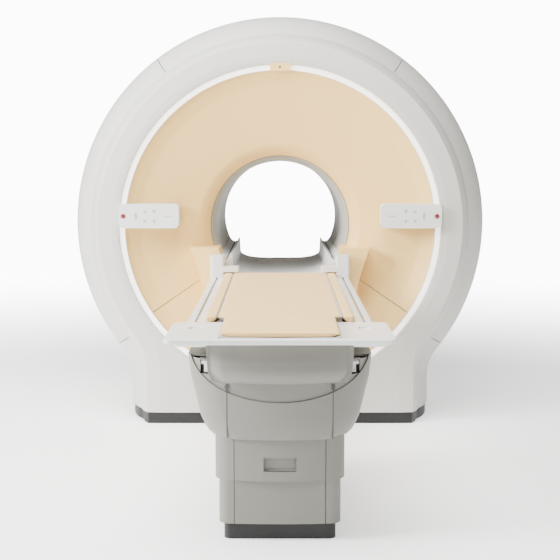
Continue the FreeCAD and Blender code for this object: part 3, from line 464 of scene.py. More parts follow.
# radius, half foot width and root radius of the covers, from mid length out to the flat face
BARREL = np.array([BARREL_R - 0.0005, 0.852, 0.240])
CREASE = np.array([1.032, 0.766, 0.340])
BULGE = np.array([1.016, 0.752, 0.340])
RIDGE = np.array([0.985, 0.728, 0.340])
FLAT = np.array([0.905, 0.650, 0.340])
TOP_SEAM, LOW_SEAM = radians(36.7), radians(126.5)
LIP_R, REAR_LIP_R = 0.868, 0.560
RING_IN, RING_FACE = 0.833, 0.790
BORE_R = 0.350


def cover_radius(angle, size):
    """Distance from the bore axis to the covers at an angle from the vertical.

    The barrel's arc runs to where it touches the concave root, the root's arc to the leg, and the leg
    straight down: the root is the nearer crossing of the ray with its circle, and the leg is the half
    width over the sine.
    """
    r, leg, root = np.moveaxis(np.asarray(size, float), -1, 0)
    x, z = leg + root, -np.sqrt((r + root) ** 2 - (leg + root) ** 2)
    reach = x * np.sin(angle) + z * np.cos(angle)
    concave = reach - np.sqrt(np.maximum(reach ** 2 - (r + root) ** 2 + root ** 2, 0))
    straight = leg / np.maximum(np.sin(angle), 1e-6)
    foot = np.where(angle <= np.arctan2(leg, z), concave, straight)
    return np.where(angle <= np.arctan2(x, z), r + 0 * angle, foot)


def foot_angle(size):
    """Angle from the vertical of the foot's lower corner."""
    return np.arctan2(size[..., 1], PLINTH_TOP - AXIS_Z)


def cover_grid(y, size, angles):
    """Points of the covers: y (rows), sizes (rows, 3) and signed angles (rows, cols)."""
    distance = cover_radius(np.abs(angles), size[:, None, :])
    x, z = distance * np.sin(angles), AXIS_Z + distance * np.cos(angles)
    return np.stack([x, np.broadcast_to(y[:, None], x.shape), z], axis=-1)


def barrel_size(y):
    """Cover size along the barrel, drawn in with the fifth power of the way to the crease."""
    share = (np.abs(y) / CREASE_Y)[:, None] ** 5
    return BARREL + (CREASE - BARREL) * share


def grid_part(points):
    rows, cols = points.shape[:2]
    return points.reshape(-1, 3), grid_faces(rows, cols)


def shell_part(low, high, steps):
    """Barrel surface between two angles; None for high runs down to the foot's lower corner."""
    y = CREASE_Y * np.sin(np.linspace(-pi / 2, pi / 2, 61))
    size = barrel_size(y)
    share = np.linspace(0, 1, steps)[None, :]
    last = foot_angle(size) if high is None else np.full(len(y), high)
    return grid_part(cover_grid(y, size, low + (last[:, None] - low) * share))


def end_cover(lip_r, sign):
    """Parts of an end cover: bulged side, ridge, flat front, round lip, and the plate below the opening."""
    stations = [(CREASE_Y + SEAM, *CREASE), (0.742, *BULGE), (0.789, *RIDGE), (COVER_Y, *FLAT)]
    path = rounded_path(stations + [(COVER_Y, *(FLAT - (0.06, 0.06, 0)))], [0.034, 0.006, 0.010], 9)[:-1]
    side_y, size = path[:, 0], path[:, 1:]
    share = np.linspace(-1, 1, 361)[None, :]
    side = cover_grid(side_y, size, share * foot_angle(size)[:, None])

    def front(angles, outer):
        across = np.linspace(1, 0.05, 12)
        level = np.concatenate([across, [0.012], [0.0] * 6, [0.0]])
        step = np.concatenate([np.zeros(13), 0.004 * (1 - np.cos(np.linspace(0.3, pi / 2, 6))), [0.062]])
        curl = np.concatenate([np.zeros(13), 0.004 * (1 - np.sin(np.linspace(0.3, pi / 2, 6))), [0.0]])
        distance = lip_r + (outer - lip_r)[None, :] * level[:, None] + curl[:, None]
        x, z = distance * np.sin(angles), AXIS_Z + distance * np.cos(angles)
        return np.stack([x, np.broadcast_to((COVER_Y - step)[:, None], x.shape), z], axis=-1)

    corner = foot_angle(FLAT)
    round_angles = share[0] * corner
    ring = front(round_angles, cover_radius(np.abs(round_angles), FLAT))
    low_angles = np.linspace(corner, 2 * pi - corner, 121)
    plate = front(low_angles, (AXIS_Z - PLINTH_TOP) / np.abs(np.cos(low_angles)))
    turn = np.array((1, sign, 1))
    return [grid_part(part * turn) for part in (np.concatenate([side[:-1], ring]), plate)]


# ---- surfaces of the funnels and the bore ---------------------------------------------------------
LINER = 0.006
THROAT_Y = 0.480
FRONT_MOUTH, REAR_MOUTH = 0.192, 0.150      # lengths of the bell mouths
MOUTH_RISE = 0.120
FUNNEL_SLOPE = 0.25
BAND_R, BAND_SLOPE = 0.758, 0.46
TUBE_RIM_R = 0.376
SPLIT_R = TUBE_RIM_R + LINER + 0.0003
PANEL_ANGLE = radians(124.0)         # upper edge of the lower funnel panel, from the vertical


def mouth(length, steps=48):
    """(r, depth) points of a bell mouth: a quarter ellipse, up to where it takes the funnel's slope."""
    last = np.arctan(FUNNEL_SLOPE * MOUTH_RISE / length)
    turn = np.linspace(pi / 2, last, steps)
    return np.stack([BORE_R + MOUTH_RISE * (1 - np.sin(turn)), length * np.cos(turn)], axis=-1)


def funnel_profile():
    """(r, y) points of the front funnel: bell mouth, shallow cone, and the steeper band at the light ring."""
    bell = mouth(FRONT_MOUTH) * (1, -1) - (0, THROAT_Y)
    r, y = bell[-1]
    band_y = y - FUNNEL_SLOPE * (BAND_R - r)
    rim = (RING_IN - 0.0003, band_y - BAND_SLOPE * (RING_IN - BAND_R))
    cone = rounded_path([(r, y), (BAND_R, band_y), rim], [0.012], 7)
    return np.concatenate([bell, cone[1:]])


def cut_profile(profile, radius):
    """Inner and outer parts of a profile that is cut at a radius."""
    r, y = profile.T
    at = np.searchsorted(r, radius)
    cut = [[radius, np.interp(radius, r, y)]]
    return np.concatenate([profile[:at], cut]), np.concatenate([cut, profile[at:]])


def spread(profile, longest=0.03):
    """Adds points so that no step of the profile is longer than this."""
    pieces = []
    for start, end in zip(profile, profile[1:]):
        count = max(1, int(np.ceil(np.linalg.norm(end - start) / longest)))
        pieces.append(start + (end - start) * np.linspace(0, 1, count, endpoint=False)[:, None])
    return np.concatenate(pieces + [profile[-1:]])


# ---- finishes -------------------------------------------------------------------------------------
def finish(name):
    """The named material, made on first use from the colours in the sidebar."""
    if name in bpy.data.materials:
        return bpy.data.materials[name]
    colours = bpy.context.scene.scanner_colours
    glow = bpy.context.scene.scanner_sizes.glow
    makers = {
        # vacuum-formed and sprayed covers: satin, so the light rolls softly over the bulge
        "sprayed cover": lambda n: moulded(n, colours.cover, 0.40, 2.4, 0.02),
        # the funnel is sprayed in a warm tone: flatter, so the ring's light spreads evenly down it
        "sprayed funnel": lambda n: moulded(n, colours.funnel, 0.46, 2.4, 0.02),
        # glass-fibre patient tube with a gel coat: a little glossier and colder
        "gel-coated tube": lambda n: moulded(n, colours.bore, 0.36, 3.0, 0.015),
        # injection-moulded ABS of the panels, rails and wings: finer texture, harder highlight
        "moulded panel": lambda n: moulded(n, colours.panel, 0.30, 1.2, 0.015),
        # textured thermoformed ABS of the table body: matt
        "textured table cover": lambda n: moulded(n, colours.table, 0.48, 1.6, 0.05, drift=0.02),
        # black polypropylene kickboards: scuff-matt
        "black kickboard": lambda n: moulded(n, colours.plinth, 0.50, 2.0, 0.05, drift=0.05),
        # opal acrylic over lamps
        "opal light ring": lambda n: lit_acrylic(n, colours.ring, glow),
        # polyurethane-coated foam of the pads: soft sheen
        "coated pad": lambda n: coated_foam(n, colours.pad),
        # glossy moulded button
        "button": lambda n: moulded(n, colours.stop, 0.22, 1.0, 0.01, coat=0.3),
        # printed keys and status strip
        "printed key": lambda n: moulded(n, colours.key, 0.45, 1.0, 0.01),
        # dark material laid as painted shade in the door seams, slot bottoms, small holes and lever recesses;
        # also the dark lens of the tab
        "painted shade and dark lens": lambda n: moulded(n, colours.slot, 0.40, 1.0, 0.02),
        # lever: pale moulded nylon
        "nylon lever": lambda n: moulded(n, colours.lever, 0.38, 1.0, 0.03),
        # painted mild steel frame, rolled: metal under satin paint reads as dull metal
        "rolled steel": lambda n: worked_metal(n, "#8E9092", 0.42, 1.2),
        "stainless vessel": lambda n: worked_metal(n, "#B4B6B8", 0.30, 0.9),
        "machined alloy": lambda n: worked_metal(n, "#A9ABAD", 0.34, 0.8),
        "wound copper": lambda n: worked_metal(n, "#B4703F", 0.33, 1.0, (1.0, 14.0, 1.0)),
        "cast epoxy": lambda n: moulded(n, "#6E5B3C", 0.32, 4.0, 0.08, drift=0.08),
        "moulded rubber": lambda n: moulded(n, "#2B2B2B", 0.62, 1.2, 0.08, drift=0.06),
    }
    return makers[name](name)


SLOT_FINISH = {"cover_grey": "sprayed cover",
               "funnel_cream": "sprayed funnel",
               "bore_grey": "gel-coated tube",
               "ring_light": "opal light ring",
               "panel_white": "moulded panel",
               "table_grey": "textured table cover",
               "plinth_black": "black kickboard",
               "pad_cream": "coated pad",
               "stop_red": "button",
               "lever_grey": "nylon lever",
               "frame_steel": "rolled steel",
               "vessel_steel": "stainless vessel",
               "structure_alloy": "machined alloy",
               "winding_copper": "wound copper",
               "epoxy_coil": "cast epoxy",
               "isolator_rubber": "moulded rubber"}
PAINTED = {"tabletop_board": "moulded panel"}     # CAD nodes finished otherwise than their slot


def place(slot, body="scanner", replaces=(), look=None):
    """Where a piece rides, the slot and finish it takes, and the CAD nodes it stands for."""
    return {"body": body, "slot": slot, "material": finish(look or SLOT_FINISH[slot]), "replaces": replaces}


def copy_place(slot, body="scanner"):
    where = place(slot, body)
    del where["replaces"]
    return where


class Maker(bpy.types.Operator):
    """Base of the operators that make one group of pieces."""
    bl_options = {"REGISTER", "UNDO"}

    def execute(self, context):
        self.make(context.scene.scanner_sizes)
        return {"FINISHED"}


class MakeCovers(Maker):
    """Barrel shells, foot covers, end covers and their kickboard"""
    bl_idname = "scanner.covers"
    bl_label = "Covers"

    def make(self, sizes):
        gap = SEAM / 2 / BARREL[0]
        side = shell_part(TOP_SEAM + gap, LOW_SEAM - gap, 121)
        foot = shell_part(LOW_SEAM + gap, None, 61)
        covers = (("top_cover", [shell_part(-TOP_SEAM + gap, TOP_SEAM - gap, 97)], "top_shell"),
                  ("side_covers", [side, mirrored_part(side)], "side_shells"),
                  ("foot_panels", [foot, mirrored_part(foot)], "foot_covers"),
                  ("front_end_cover", end_cover(LIP_R, -1), "front_fascia"),
                  ("rear_end_cover", end_cover(REAR_LIP_R, 1), "rear_fascia"))
        for name, parts, node in covers:
            sheet_piece(name, parts, WALL, edge=sizes.cover_edge, **place("cover_grey", replaces=(node,)))
        self.make_plinth()

    def make_plinth(self):
        """The plinth's plan follows the foot's half width less an inset, rounded to the end faces."""
        y = np.concatenate([np.linspace(0, CREASE_Y, 40), [0.742, 0.789]])
        leg = np.concatenate([barrel_size(y[:40])[:, 1], [BULGE[1], RIDGE[1]]]) - 0.008
        side = np.stack([leg, y], axis=-1)
        end = rounded_path([side[-2], side[-1], (FLAT[1] - 0.008, COVER_Y - 0.008), (0.002, COVER_Y - 0.008)],
                           [0.006, 0.012], 6)
        half = np.concatenate([side[:-1], end[1:]])
        plan = np.concatenate([half[::-1] * (1, -1), half[1:]])
        height = np.array([0.0, PLINTH_TOP - 0.0003])
        wall = np.stack([np.broadcast_to(plan[:, 0, None], (len(plan), 2)),
                         np.broadcast_to(plan[:, 1, None], (len(plan), 2)),
                         np.broadcast_to(height, (len(plan), 2))], axis=-1)
        part = grid_part(wall)
        sheet_piece("kickboards", [part, mirrored_part(part)], 0.012, edge=0.002, away=(0, 0, 0.03),
                    **place("plinth_black", replaces=("plinth",)))


class MakeFunnels(Maker):
    """Front funnel with its lower panel, rear funnel and patient tube"""
    bl_idname = "scanner.funnels"
    bl_label = "Funnels and tube"

    def make(self, sizes):
        outer = spread(cut_profile(funnel_profile(), SPLIT_R)[1])
        slit = 0.0015 / 0.6
        round_part = turned_grid(outer, np.linspace(-PANEL_ANGLE + slit, PANEL_ANGLE - slit, 241))
        low_part = turned_grid(outer, np.linspace(PANEL_ANGLE + slit, 2 * pi - PANEL_ANGLE - slit, 113))
        behind = (0, 4.0, AXIS_Z)
        sheet_piece("funnel_cone", [grid_part(round_part)], LINER, behind, **place("funnel_cream",
                    replaces=("front_funnel",)))
        sheet_piece("funnel_lower_panel", [grid_part(low_part)], LINER, behind, **place("funnel_cream",
                    replaces=("lower_funnel_panel",)))
        rim = (REAR_LIP_R - 0.004, COVER_Y - 0.024)
        rear = np.concatenate([mouth(REAR_MOUTH) + (0, THROAT_Y), [rim]])
        ring = turned_grid(spread(cut_profile(rear, SPLIT_R)[1]), np.linspace(0, 2 * pi, 193))
        sheet_piece("rear_funnel_cone", [grid_part(ring)], LINER, (0, -4.0, AXIS_Z), **place("funnel_cream",
                    replaces=("rear_funnel",)))
        front_in = cut_profile(funnel_profile(), TUBE_RIM_R)[0]
        rear_in = cut_profile(rear, TUBE_RIM_R)[0]
        face = spread(np.concatenate([front_in[::-1], rear_in]), 0.06)
        points, faces = turned_solid(np.concatenate([face, face[::-1] + (LINER, 0)]))
        where = place("bore_grey", replaces=("patient_tube",))
        soften(make_piece("bore_tube", points, faces, **where), 0.0015, 2, 50)


class MakeRing(Maker):
    """Light ring: diffuser, channel, and the tab with its lens"""
    bl_idname = "scanner.ring"
    bl_label = "Light ring"

    def make(self, sizes):
        low, high = RING_IN + 0.0033, LIP_R - 0.0036
        r = np.linspace(low, high, 13)
        crown = 0.003 * (1 - ((r - low) / (high - low) * 2 - 1) ** 2)
        face = np.stack([r, -RING_FACE + 0.0012 - crown * 0.4], axis=-1)
        back = np.array([(high, -RING_FACE + 0.004), (low, -RING_FACE + 0.004)])
        points, faces = turned_solid(np.concatenate([face, back]), 288)
        make_piece("ring_diffuser", points, faces, **place("ring_light", replaces=("light_ring_diffuser",)))
        outer = LIP_R - 0.0003
        lip = 0.003
        channel = [(RING_IN, -RING_FACE), (RING_IN + lip, -RING_FACE), (RING_IN + lip, -0.763),
                   (outer - lip, -0.763), (outer - lip, -RING_FACE), (outer, -RING_FACE), (outer, -0.760),
                   (RING_IN, -0.760)]
        points, faces = turned_solid(channel, 288)
        make_piece("ring_channel", points, faces,
                   **place("structure_alloy", replaces=("light_ring_channel",), look="moulded panel"))
        edged_copy("ring_tab", "sensor_tab", width=0.003, **copy_place("funnel_cream"))
        # the lens is a shallow dome: radius falls with the sine, height rises with the cosine
        turn = np.linspace(0, pi / 2, 8)[:, None]
        around = np.linspace(0, 2 * pi, 33)[None, :-1]
        spread_r = 0.0058 * np.cos(turn)
        dome = np.stack([spread_r * np.cos(around), -0.8005 - 0.004 * np.sin(turn) + 0 * around,
                         AXIS_Z + 0.85 + spread_r * np.sin(around)], axis=-1)
        lens = (dome.reshape(-1, 3), grid_faces(8, 32, 0, True))
        where = place("structure_alloy", look="painted shade and dark lens")
        face_away(make_piece("tab_lens", *lens, **where), np.array((0, -0.7, AXIS_Z + 0.85)))


class MakeBridge(Maker):
    """Bridge through the bore with its slots, and the docking pod"""
    bl_idname = "scanner.bridge"
    bl_label = "Bridge and pod"

    def make(self, sizes):
        trough, ledge, groove = 0.800, 0.908, 0.287
        radius = BORE_R - 0.0003
        half = rounded_path([(0, trough), (0.130, trough), (0.205, trough + 0.010), (0.2475, trough + 0.030),
                             (0.253, trough + 0.050), (0.257, ledge + 0.020), (0.266, ledge + 0.020),
                             (0.272, ledge), (groove - 0.004, ledge)],
                            [0.06, 0.03, 0.004, 0.010, 0.004, 0.005, 0.003], 9)
        slot = [(groove - 0.004, ledge - 0.004), (groove + 0.004, ledge - 0.004), (groove + 0.004, ledge)]
        outer = rounded_path([(groove + 0.004, ledge), (0.302, ledge), (0.3224, ledge + 0.0265)], [0.010], 9)
        side_x, side_z = outer[-1]
        start = np.arctan2(side_x, side_z - AXIS_Z)
        turn = np.linspace(start, pi, 40)[1:]
        below = np.stack([radius * np.sin(turn), AXIS_Z + radius * np.cos(turn)], axis=-1)
        half = np.concatenate([half, slot[:2], [slot[2]], outer[1:], below])
        outline = np.concatenate([half, half[-2:0:-1] * (-1, 1)])
        points, faces = prism_part(outline, BRIDGE_LOW[1], BRIDGE_HIGH[1])
        bridge = make_piece("table_bridge", points, faces, **place("panel_white", replaces=("bridge",)))
        soften(bridge, 0.0008, 2, 60)
        # dark strips laid in the bottoms of the two slots: painted shade of the slots' depth
        strips = []
        for x in (-groove, groove):
            strips.append(prism_part([(x - 0.0037, ledge - 0.0039), (x + 0.0037, ledge - 0.0039),
                                      (x + 0.0037, ledge - 0.0026), (x - 0.0037, ledge - 0.0026)],
                                     BRIDGE_LOW[1] + 0.001, BRIDGE_HIGH[1] - 0.001))
        where = place("isolator_rubber", look="painted shade and dark lens")
        make_piece("bridge_slot_shade_strips", *merge_parts(strips), **where)
        edged_copy("docking_pod", "dock_pod", width=0.009, segments=4, **copy_place("funnel_cream"))


class MakeControls(Maker):
    """Control panels with their keys and status strips, and the stop buttons"""
    bl_idname = "scanner.controls"
    bl_label = "Control panels"

    def make(self, sizes):
        edged_copy("panel_housings", "control_panels", width=0.006, segments=4, **copy_place("panel_white"))
        face = PANEL_LOW[1]
        middle = (PANEL_LOW[2] + PANEL_HIGH[2]) / 2
        keys = []

        def key(outline):
            keys.append(prism_part(outline, face - 0.0006, face + 0.001))

        for side in (-1, 1):
            for row, up in ((0.026, 1), (-0.026, -1)):
                x, z = side * 0.722, middle + row
                arrow = np.array([(-0.012, -0.007), (0.012, -0.007), (0, 0.009)]) * (1, up)
                key(rounded_loop(arrow[::up] + (x, z), 0.003))
                x = side * 0.672
                key(rounded_outline(x - 0.009, x + 0.009, z - 0.009, z + 0.009, 0.009))
            x = side * (0.722 + 0.048)
            key(rounded_outline(x - 0.007, x + 0.007, middle - 0.018, middle + 0.018, 0.006))
            x = side * 0.600
            key(rounded_outline(x - 0.016, x + 0.016, middle - 0.003, middle + 0.003, 0.0028))
        where = place("panel_white", look="printed key")
        make_piece("panel_keys", *merge_parts(keys), **where)
        for side, name in ((-1, "left"), (1, "right")):
            low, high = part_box(f"{name}_stop_button")
            x, z, r = (low[0] + high[0]) / 2, (low[2] + high[2]) / 2, (high[0] - low[0]) / 2
            # a mushroom cap: flat back, straight side, rounded rim and a slightly domed face
            cap = rounded_path([(0.0, low[1]), (r, low[1] + 0.0015), (r, high[1])], [0.004], 8)
            profile = np.concatenate([spread(cap, 0.003), [(0.0, high[1])]])
            turn = np.linspace(0, 2 * pi, 49)[:-1]
            rr, yy = profile.T[:, :, None]
            grid = np.stack([x + rr * np.cos(turn), yy + 0 * turn, z + rr * np.sin(turn)], axis=-1)
            points, faces = grid.reshape(-1, 3), grid_faces(len(profile), 48, 0, True)
            make_piece(f"{name}_button_cap", points, faces,
                       **place("stop_red", f"{name}_stop", replaces=(f"{name}_stop_button",)))


class MakePedestal(Maker):
    """Kickboard and sleeves of the lifting pedestal"""
    bl_idname = "scanner.pedestal"
    bl_label = "Pedestal"

    def make(self, sizes):
        self.sleeve("base_kick", KICK_LOW, KICK_HIGH, 0.030, 0.006, None,
                    place("plinth_black", "scanner", ("base_kickboard",)))
        bow(self.sleeve("lower_lift_sleeve", LOWER_LOW, LOWER_HIGH, 0.040, 0.004, 0.174,
                        place("table_grey", "scanner", ("lower_sleeve",))), 0.034)
        middle = self.sleeve("middle_lift_sleeve", MID_LOW, MID_HIGH, 0.055, 0.004, 0.174,
                             place("table_grey", "sleeve_stage", ("mid_sleeve",)))
        # hand scoop: a shallow barrel cut across the front, closed behind by a dark cup
        turn = np.linspace(0, 2 * pi, 49)[:-1]
        y, z, r = MID_LOW[1] - 0.012, 0.303, 0.030
        scoop = np.stack([y + r * np.cos(turn), z + r * np.sin(turn)], axis=-1)
        carve(middle, [prism_part(scoop, -0.062, 0.062, "x")])
        cup = scoop[np.cos(turn) > 0.4]
        cup = cup[np.argsort(np.arctan2(cup[:, 1] - z, cup[:, 0] - y))]
        grid = np.stack([np.broadcast_to(np.array([-0.0618, 0.0618])[:, None], (2, len(cup))),
                         np.broadcast_to(cup[:, 0], (2, len(cup))), np.broadcast_to(cup[:, 1], (2, len(cup)))],
                        axis=-1)
        where = place("table_grey", "sleeve_stage")
        bow(sheet_piece("scoop_cup", [grid_part(grid)], 0.002, (0, y - 0.02, z), True, 0.0005, **where))
        bow(middle)

    def sleeve(self, name, low, high, radius, wall, seam, where):
        """Upright box section with rounded corners; a seam is a narrow notch down the front."""
        outer = rounded_outline(low[0], high[0], low[1], high[1], radius, 12)
        line = np.linspace(-0.9, 0.9, 19) * (high[0] - radius)
        front = np.column_stack([line, np.full(19, low[1])])
        if seam:
            notch = np.array([(-0.0016, 0.0), (-0.0016, 0.003), (0.0016, 0.003), (0.0016, 0.0)])
            cuts = [notch + (x, low[1]) for x in (-seam, seam)]
            front = np.concatenate([front, *cuts])
            front = front[np.argsort(front[:, 0], kind="stable")]
        outer = np.concatenate([outer, front])
        inner = rounded_outline(low[0] + wall, high[0] - wall, low[1] + wall, high[1] - wall, radius - wall, 12)
        points, faces = [], []
        count_o, count_i = len(outer), len(inner)
        for level in (low[2], high[2]):
            for ring in (outer, inner):
                points.append(np.column_stack([ring, np.full(len(ring), level)]))
        both = count_o + count_i
        j = np.arange(count_o)
        k = (j + 1) % count_o
        faces += np.stack([j, k, k + both, j + both], axis=-1).tolist()
        j = np.arange(count_i) + count_o
        k = (np.arange(count_i) + 1) % count_i + count_o
        faces += np.stack([k, j, j + both, k + both], axis=-1).tolist()
        piece = make_piece(name, np.concatenate(points), faces, **where)
        work = bmesh.new()
        work.from_mesh(piece.data)
        rims = [edge for edge in work.edges if edge.is_boundary]
        bmesh.ops.triangle_fill(work, use_beauty=True, use_dissolve=False, edges=rims)
        bmesh.ops.recalc_face_normals(work, faces=work.faces)
        work.to_mesh(piece.data)
        work.free()
        shade(piece.data, 33.0)
        return piece


class MakeTableBody(Maker):
    """Table body covers, collar, skirt and release levers"""
    bl_idname = "scanner.table_body"
    bl_label = "Table body"

    def make(self, sizes):
        edge = sizes.table_edge
        where = copy_place("table_grey", "table")
        bow(edged_copy("body_side_covers", "body_covers", width=edge, **where))
        bow(edged_copy("body_door", "body_front_panel", width=edge, rows=24, **where))
        bow(edged_copy("body_collar", "collar", width=0.0012, segments=2, rows=24, **where))
        self.seams()
        self.levers()
        self.skirt()

    def seams(self):
        """Painted shade: dark strips down the door's two edges stand for its seams, and dark discs at their
        tops stand for small holes; each level leans in with the covers.
        """
        z = np.array([0.402, 0.420, 0.447, 0.470, 0.600])
        half = np.array([0.261, 0.280, 0.294, 0.305, 0.336])
        front = -2.900 + 0.35 * (BODY_HIGH[0] - half)
        across = np.array([(-0.002, 0.0045), (-0.002, -0.0006), (0.002, -0.0006), (0.002, 0.0045)])
        strips = []
        for x in (-0.1994, 0.1994):
            loops = np.stack([np.broadcast_to(across[:, 0] + x, (5, 4)), front[:, None] + across[:, 1],
                              np.broadcast_to(z[:, None], (5, 4))], axis=-1)
            strips.append(swept_part(loops))
            # dark disc at the top of each strip: painted shade standing for a small hole
            turn = np.linspace(0, 2 * pi, 25)[:-1]
            hole = np.stack([x + 0.008 * np.cos(turn), 0.604 + 0.012 * np.sin(turn)], axis=-1)
            strips.append(prism_part(hole, front[-1] - 0.0008, front[-1] + 0.006))
        where = place("isolator_rubber", "table", look="painted shade and dark lens")
        bow(make_piece("door_seam_shade_strips", *merge_parts(strips), **where))

    def levers(self):
        """A finger hook on each pivot, with a dark plate behind it as painted shade of its recess."""
        for sign, side in ((-1, "left"), (1, "right")):
            low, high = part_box(f"{side}_release_lever")
            middle_y, x = (low[1] + high[1]) / 2, sign * 0.279
            hook = rounded_loop([(middle_y - 0.004, high[2] - 0.001), (middle_y + 0.005, high[2] - 0.001),
                                 (middle_y + 0.004, low[2] + 0.014), (middle_y - 0.001, low[2] + 0.003),
                                 (middle_y - 0.012, low[2] + 0.001), (middle_y - 0.013, low[2] + 0.006),
                                 (middle_y - 0.005, low[2] + 0.010)], 0.003, 6)
            barrel = np.linspace(0, 2 * pi, 33)[:-1]
            pivot = np.stack([middle_y + 0.0088 * np.cos(barrel), 0.690 + 0.0088 * np.sin(barrel)], axis=-1)
            parts = [prism_part(hook, x - 0.008, x + 0.008, "x"),
                     prism_part(pivot, x - 0.0188, x + 0.0188, "x")]
            piece = make_piece(f"{side}_lever_hook", *merge_parts(parts),
                               **place("lever_grey", f"{side}_lever", (f"{side}_release_lever",)))
            bow(soften(piece, 0.0012, 2, 50))
            # dark plate behind the hook: painted shade of the lever's recess
            plate = rounded_outline(x - 0.0215, x + 0.0215, 0.648, 0.7005, 0.004)
            where = place("isolator_rubber", "table", look="painted shade and dark lens")
            bow(make_piece(f"{side}_recess_shade_plate", *prism_part(plate, middle_y + 0.0165, middle_y + 0.0175),
                           **where))

    def skirt(self):
        """Rounded rectangles that grow and lean with height, cut flat against the body behind."""
        z = np.array([0.628, 0.642, 0.660, 0.705, SKIRT_HIGH[2], 0.794])
        half = np.array([0.253, 0.259, 0.266, 0.271, 0.275, 0.277])
        lean = np.array([0.026, 0.012, 0.003, 0.0, 0.008, 0.014])
        levels = np.linspace(z[0], z[-1], 40)
        halves, leans = smooth_through(levels, z, half), smooth_through(levels, z, lean)
        back = SKIRT_HIGH[1]
        loops = []
        for level, wide, pull in zip(levels, halves, leans):
            loop = rounded_outline(-wide, wide, SKIRT_LOW[1] + pull, back + 0.15, 0.060, 16)
            line = np.linspace(-0.95, 0.95, 21) * (wide - 0.060)
            loop = np.concatenate([loop, np.column_stack([line, np.full(21, SKIRT_LOW[1] + pull)])])
            loop[:, 1] = np.minimum(loop[:, 1] + 0.055 * (loop[:, 0] / wide) ** 2, back)
            loops.append(np.column_stack([loop, np.full(len(loop), level)]))
        points, faces = swept_part(np.array(loops))
        apron = make_piece("table_apron", points, faces, **place("table_grey", "table", ("table_skirt",)))
        soften(apron, 0.004, 4, 50)


class MakeTabletop(Maker):
    """Rails, wings, far blocks and the visible edges of the tabletop"""
    bl_idname = "scanner.tabletop"
    bl_label = "Tabletop"

    def make(self, sizes):
        low, high = RAIL_LOW, RAIL_HIGH
        outer, inner = -low[0], -low[0] - 0.071
        slot, deep = (0.328, 0.338), 0.010
        outline = [(inner, low[2]), (outer, low[2]), (outer, high[2]), (slot[1], high[2]),
                   (slot[1], high[2] - deep), (slot[0], high[2] - deep), (slot[0], high[2]), (inner, high[2])]
        cuts = [0.001, 0.006, 0.009, 0.0015, 0.001, 0.001, 0.0015, 0.002]
        rail = prism_part(rounded_loop(outline, cuts, 7), low[1], high[1])
        make_piece("table_rails", *merge_parts([rail, mirrored_part(rail)]),
                   **place("panel_white", "table", ("side_rails",)))
        strip = prism_part([(0.3283, high[2] - deep + 0.0002), (0.3377, high[2] - deep + 0.0002),
                            (0.3377, high[2] - deep + 0.003), (0.3283, high[2] - deep + 0.003)],
                           low[1] + 0.002, high[1] - 0.002)
        where = place("structure_alloy", "table")
        make_piece("rail_inserts", *merge_parts([strip, mirrored_part(strip)]), **where)
        white = copy_place("panel_white", "table")
        edged_copy("near_wings", "table_wings", width=0.0045, segments=4, **white)
        beam = edged_copy("table_beam", "table_frame", width=0.0015, segments=2,
                          **copy_place("frame_steel", "table"))
        self.shorten(beam, BODY_LOW[1] - 0.005)
        near = WING_NEAR
        lip = rounded_loop([(near + 0.001, 0.792), (near + 0.001, 0.812), (near + 0.0135, 0.8155),
                            (near + 0.0135, 0.792)], [0.008, 0.007, 0.002, 0.002], 8)
        corner = prism_part(rounded_outline(0.2245, 0.262, -2.630, -2.5995, 0.002), 0.797, 0.8115, "z")
        parts = [prism_part(lip, -0.385, 0.385, "x"), corner, mirrored_part(corner)]
        make_piece("near_lip", *merge_parts(parts), **place("panel_white", "table"))
        edged_copy("far_blocks", "end_blocks", width=0.005, segments=4, **white)

    def shorten(self, beam, near):
        """Draws the beam's near end back to a plane behind the apron, and paints it."""
        beam.data.materials[0] = finish("moulded panel")
        points = read_points(beam.data)
        points[:, 1] = np.maximum(points[:, 1], near)
        write_points(beam.data, points)


class MakePads(Maker):
    """Mattress and arm pads, swollen a little by a cloth simulation"""
    bl_idname = "scanner.pads"
    bl_label = "Pads"

    def make(self, sizes):
        low, high = PAD_LOW, PAD_HIGH
        # the mattress is a shallow lens: its underside follows the board's dish
        dish = np.array([(0.0, 0.8165), (0.120, 0.8172), (0.200, 0.8195), (0.232, 0.8265), (0.2440, 0.8300)])
        top = np.array([(0.2440, 0.8345), (0.2420, 0.8352), (0.225, 0.8350), (0.120, 0.8345), (0.0, 0.8342)])
        half = np.concatenate([dish, top])
        outline = np.concatenate([half, half[-2:0:-1] * (-1, 1)])
        y = np.linspace(low[1] + 0.003, high[1] - 0.003, 60)
        y = np.sort(np.concatenate([y, [-2.5985, -2.5975]]))
        wide = np.where(y < -2.598, 0.2205 / 0.2440, 1.0)
        grid = (len(y), len(outline))
        loops = np.stack([outline[None, :, 0] * wide[:, None], np.broadcast_to(y[:, None], grid),
                          np.broadcast_to(outline[None, :, 1], grid)], axis=-1)
        mattress = make_piece("mattress_pad", *swept_part(loops),
                              **place("pad_cream", "tabletop", ("mattress",)))
        arm_half = [(0.2482, 0.826), (0.2482, 0.8340), (0.2500, 0.8352), (0.2915, 0.8352), (0.2935, 0.8335),
                    (0.2935, 0.776), (0.2645, 0.776), (0.2645, 0.812)]
        arm = prism_part(rounded_loop(arm_half, 0.002, 4), ARM_LOW[1] + 0.002, ARM_HIGH[1] - 0.002)
        arms = make_piece("arm_rest_pads", *merge_parts([arm, mirrored_part(arm)]),
                          **place("pad_cream", "table", ("arm_pads",)))
        for piece, cap in ((mattress, 0.0016), (arms, 0.0014)):
            swell(piece, 0.006, cap)


SWELL_FRAMES = 20


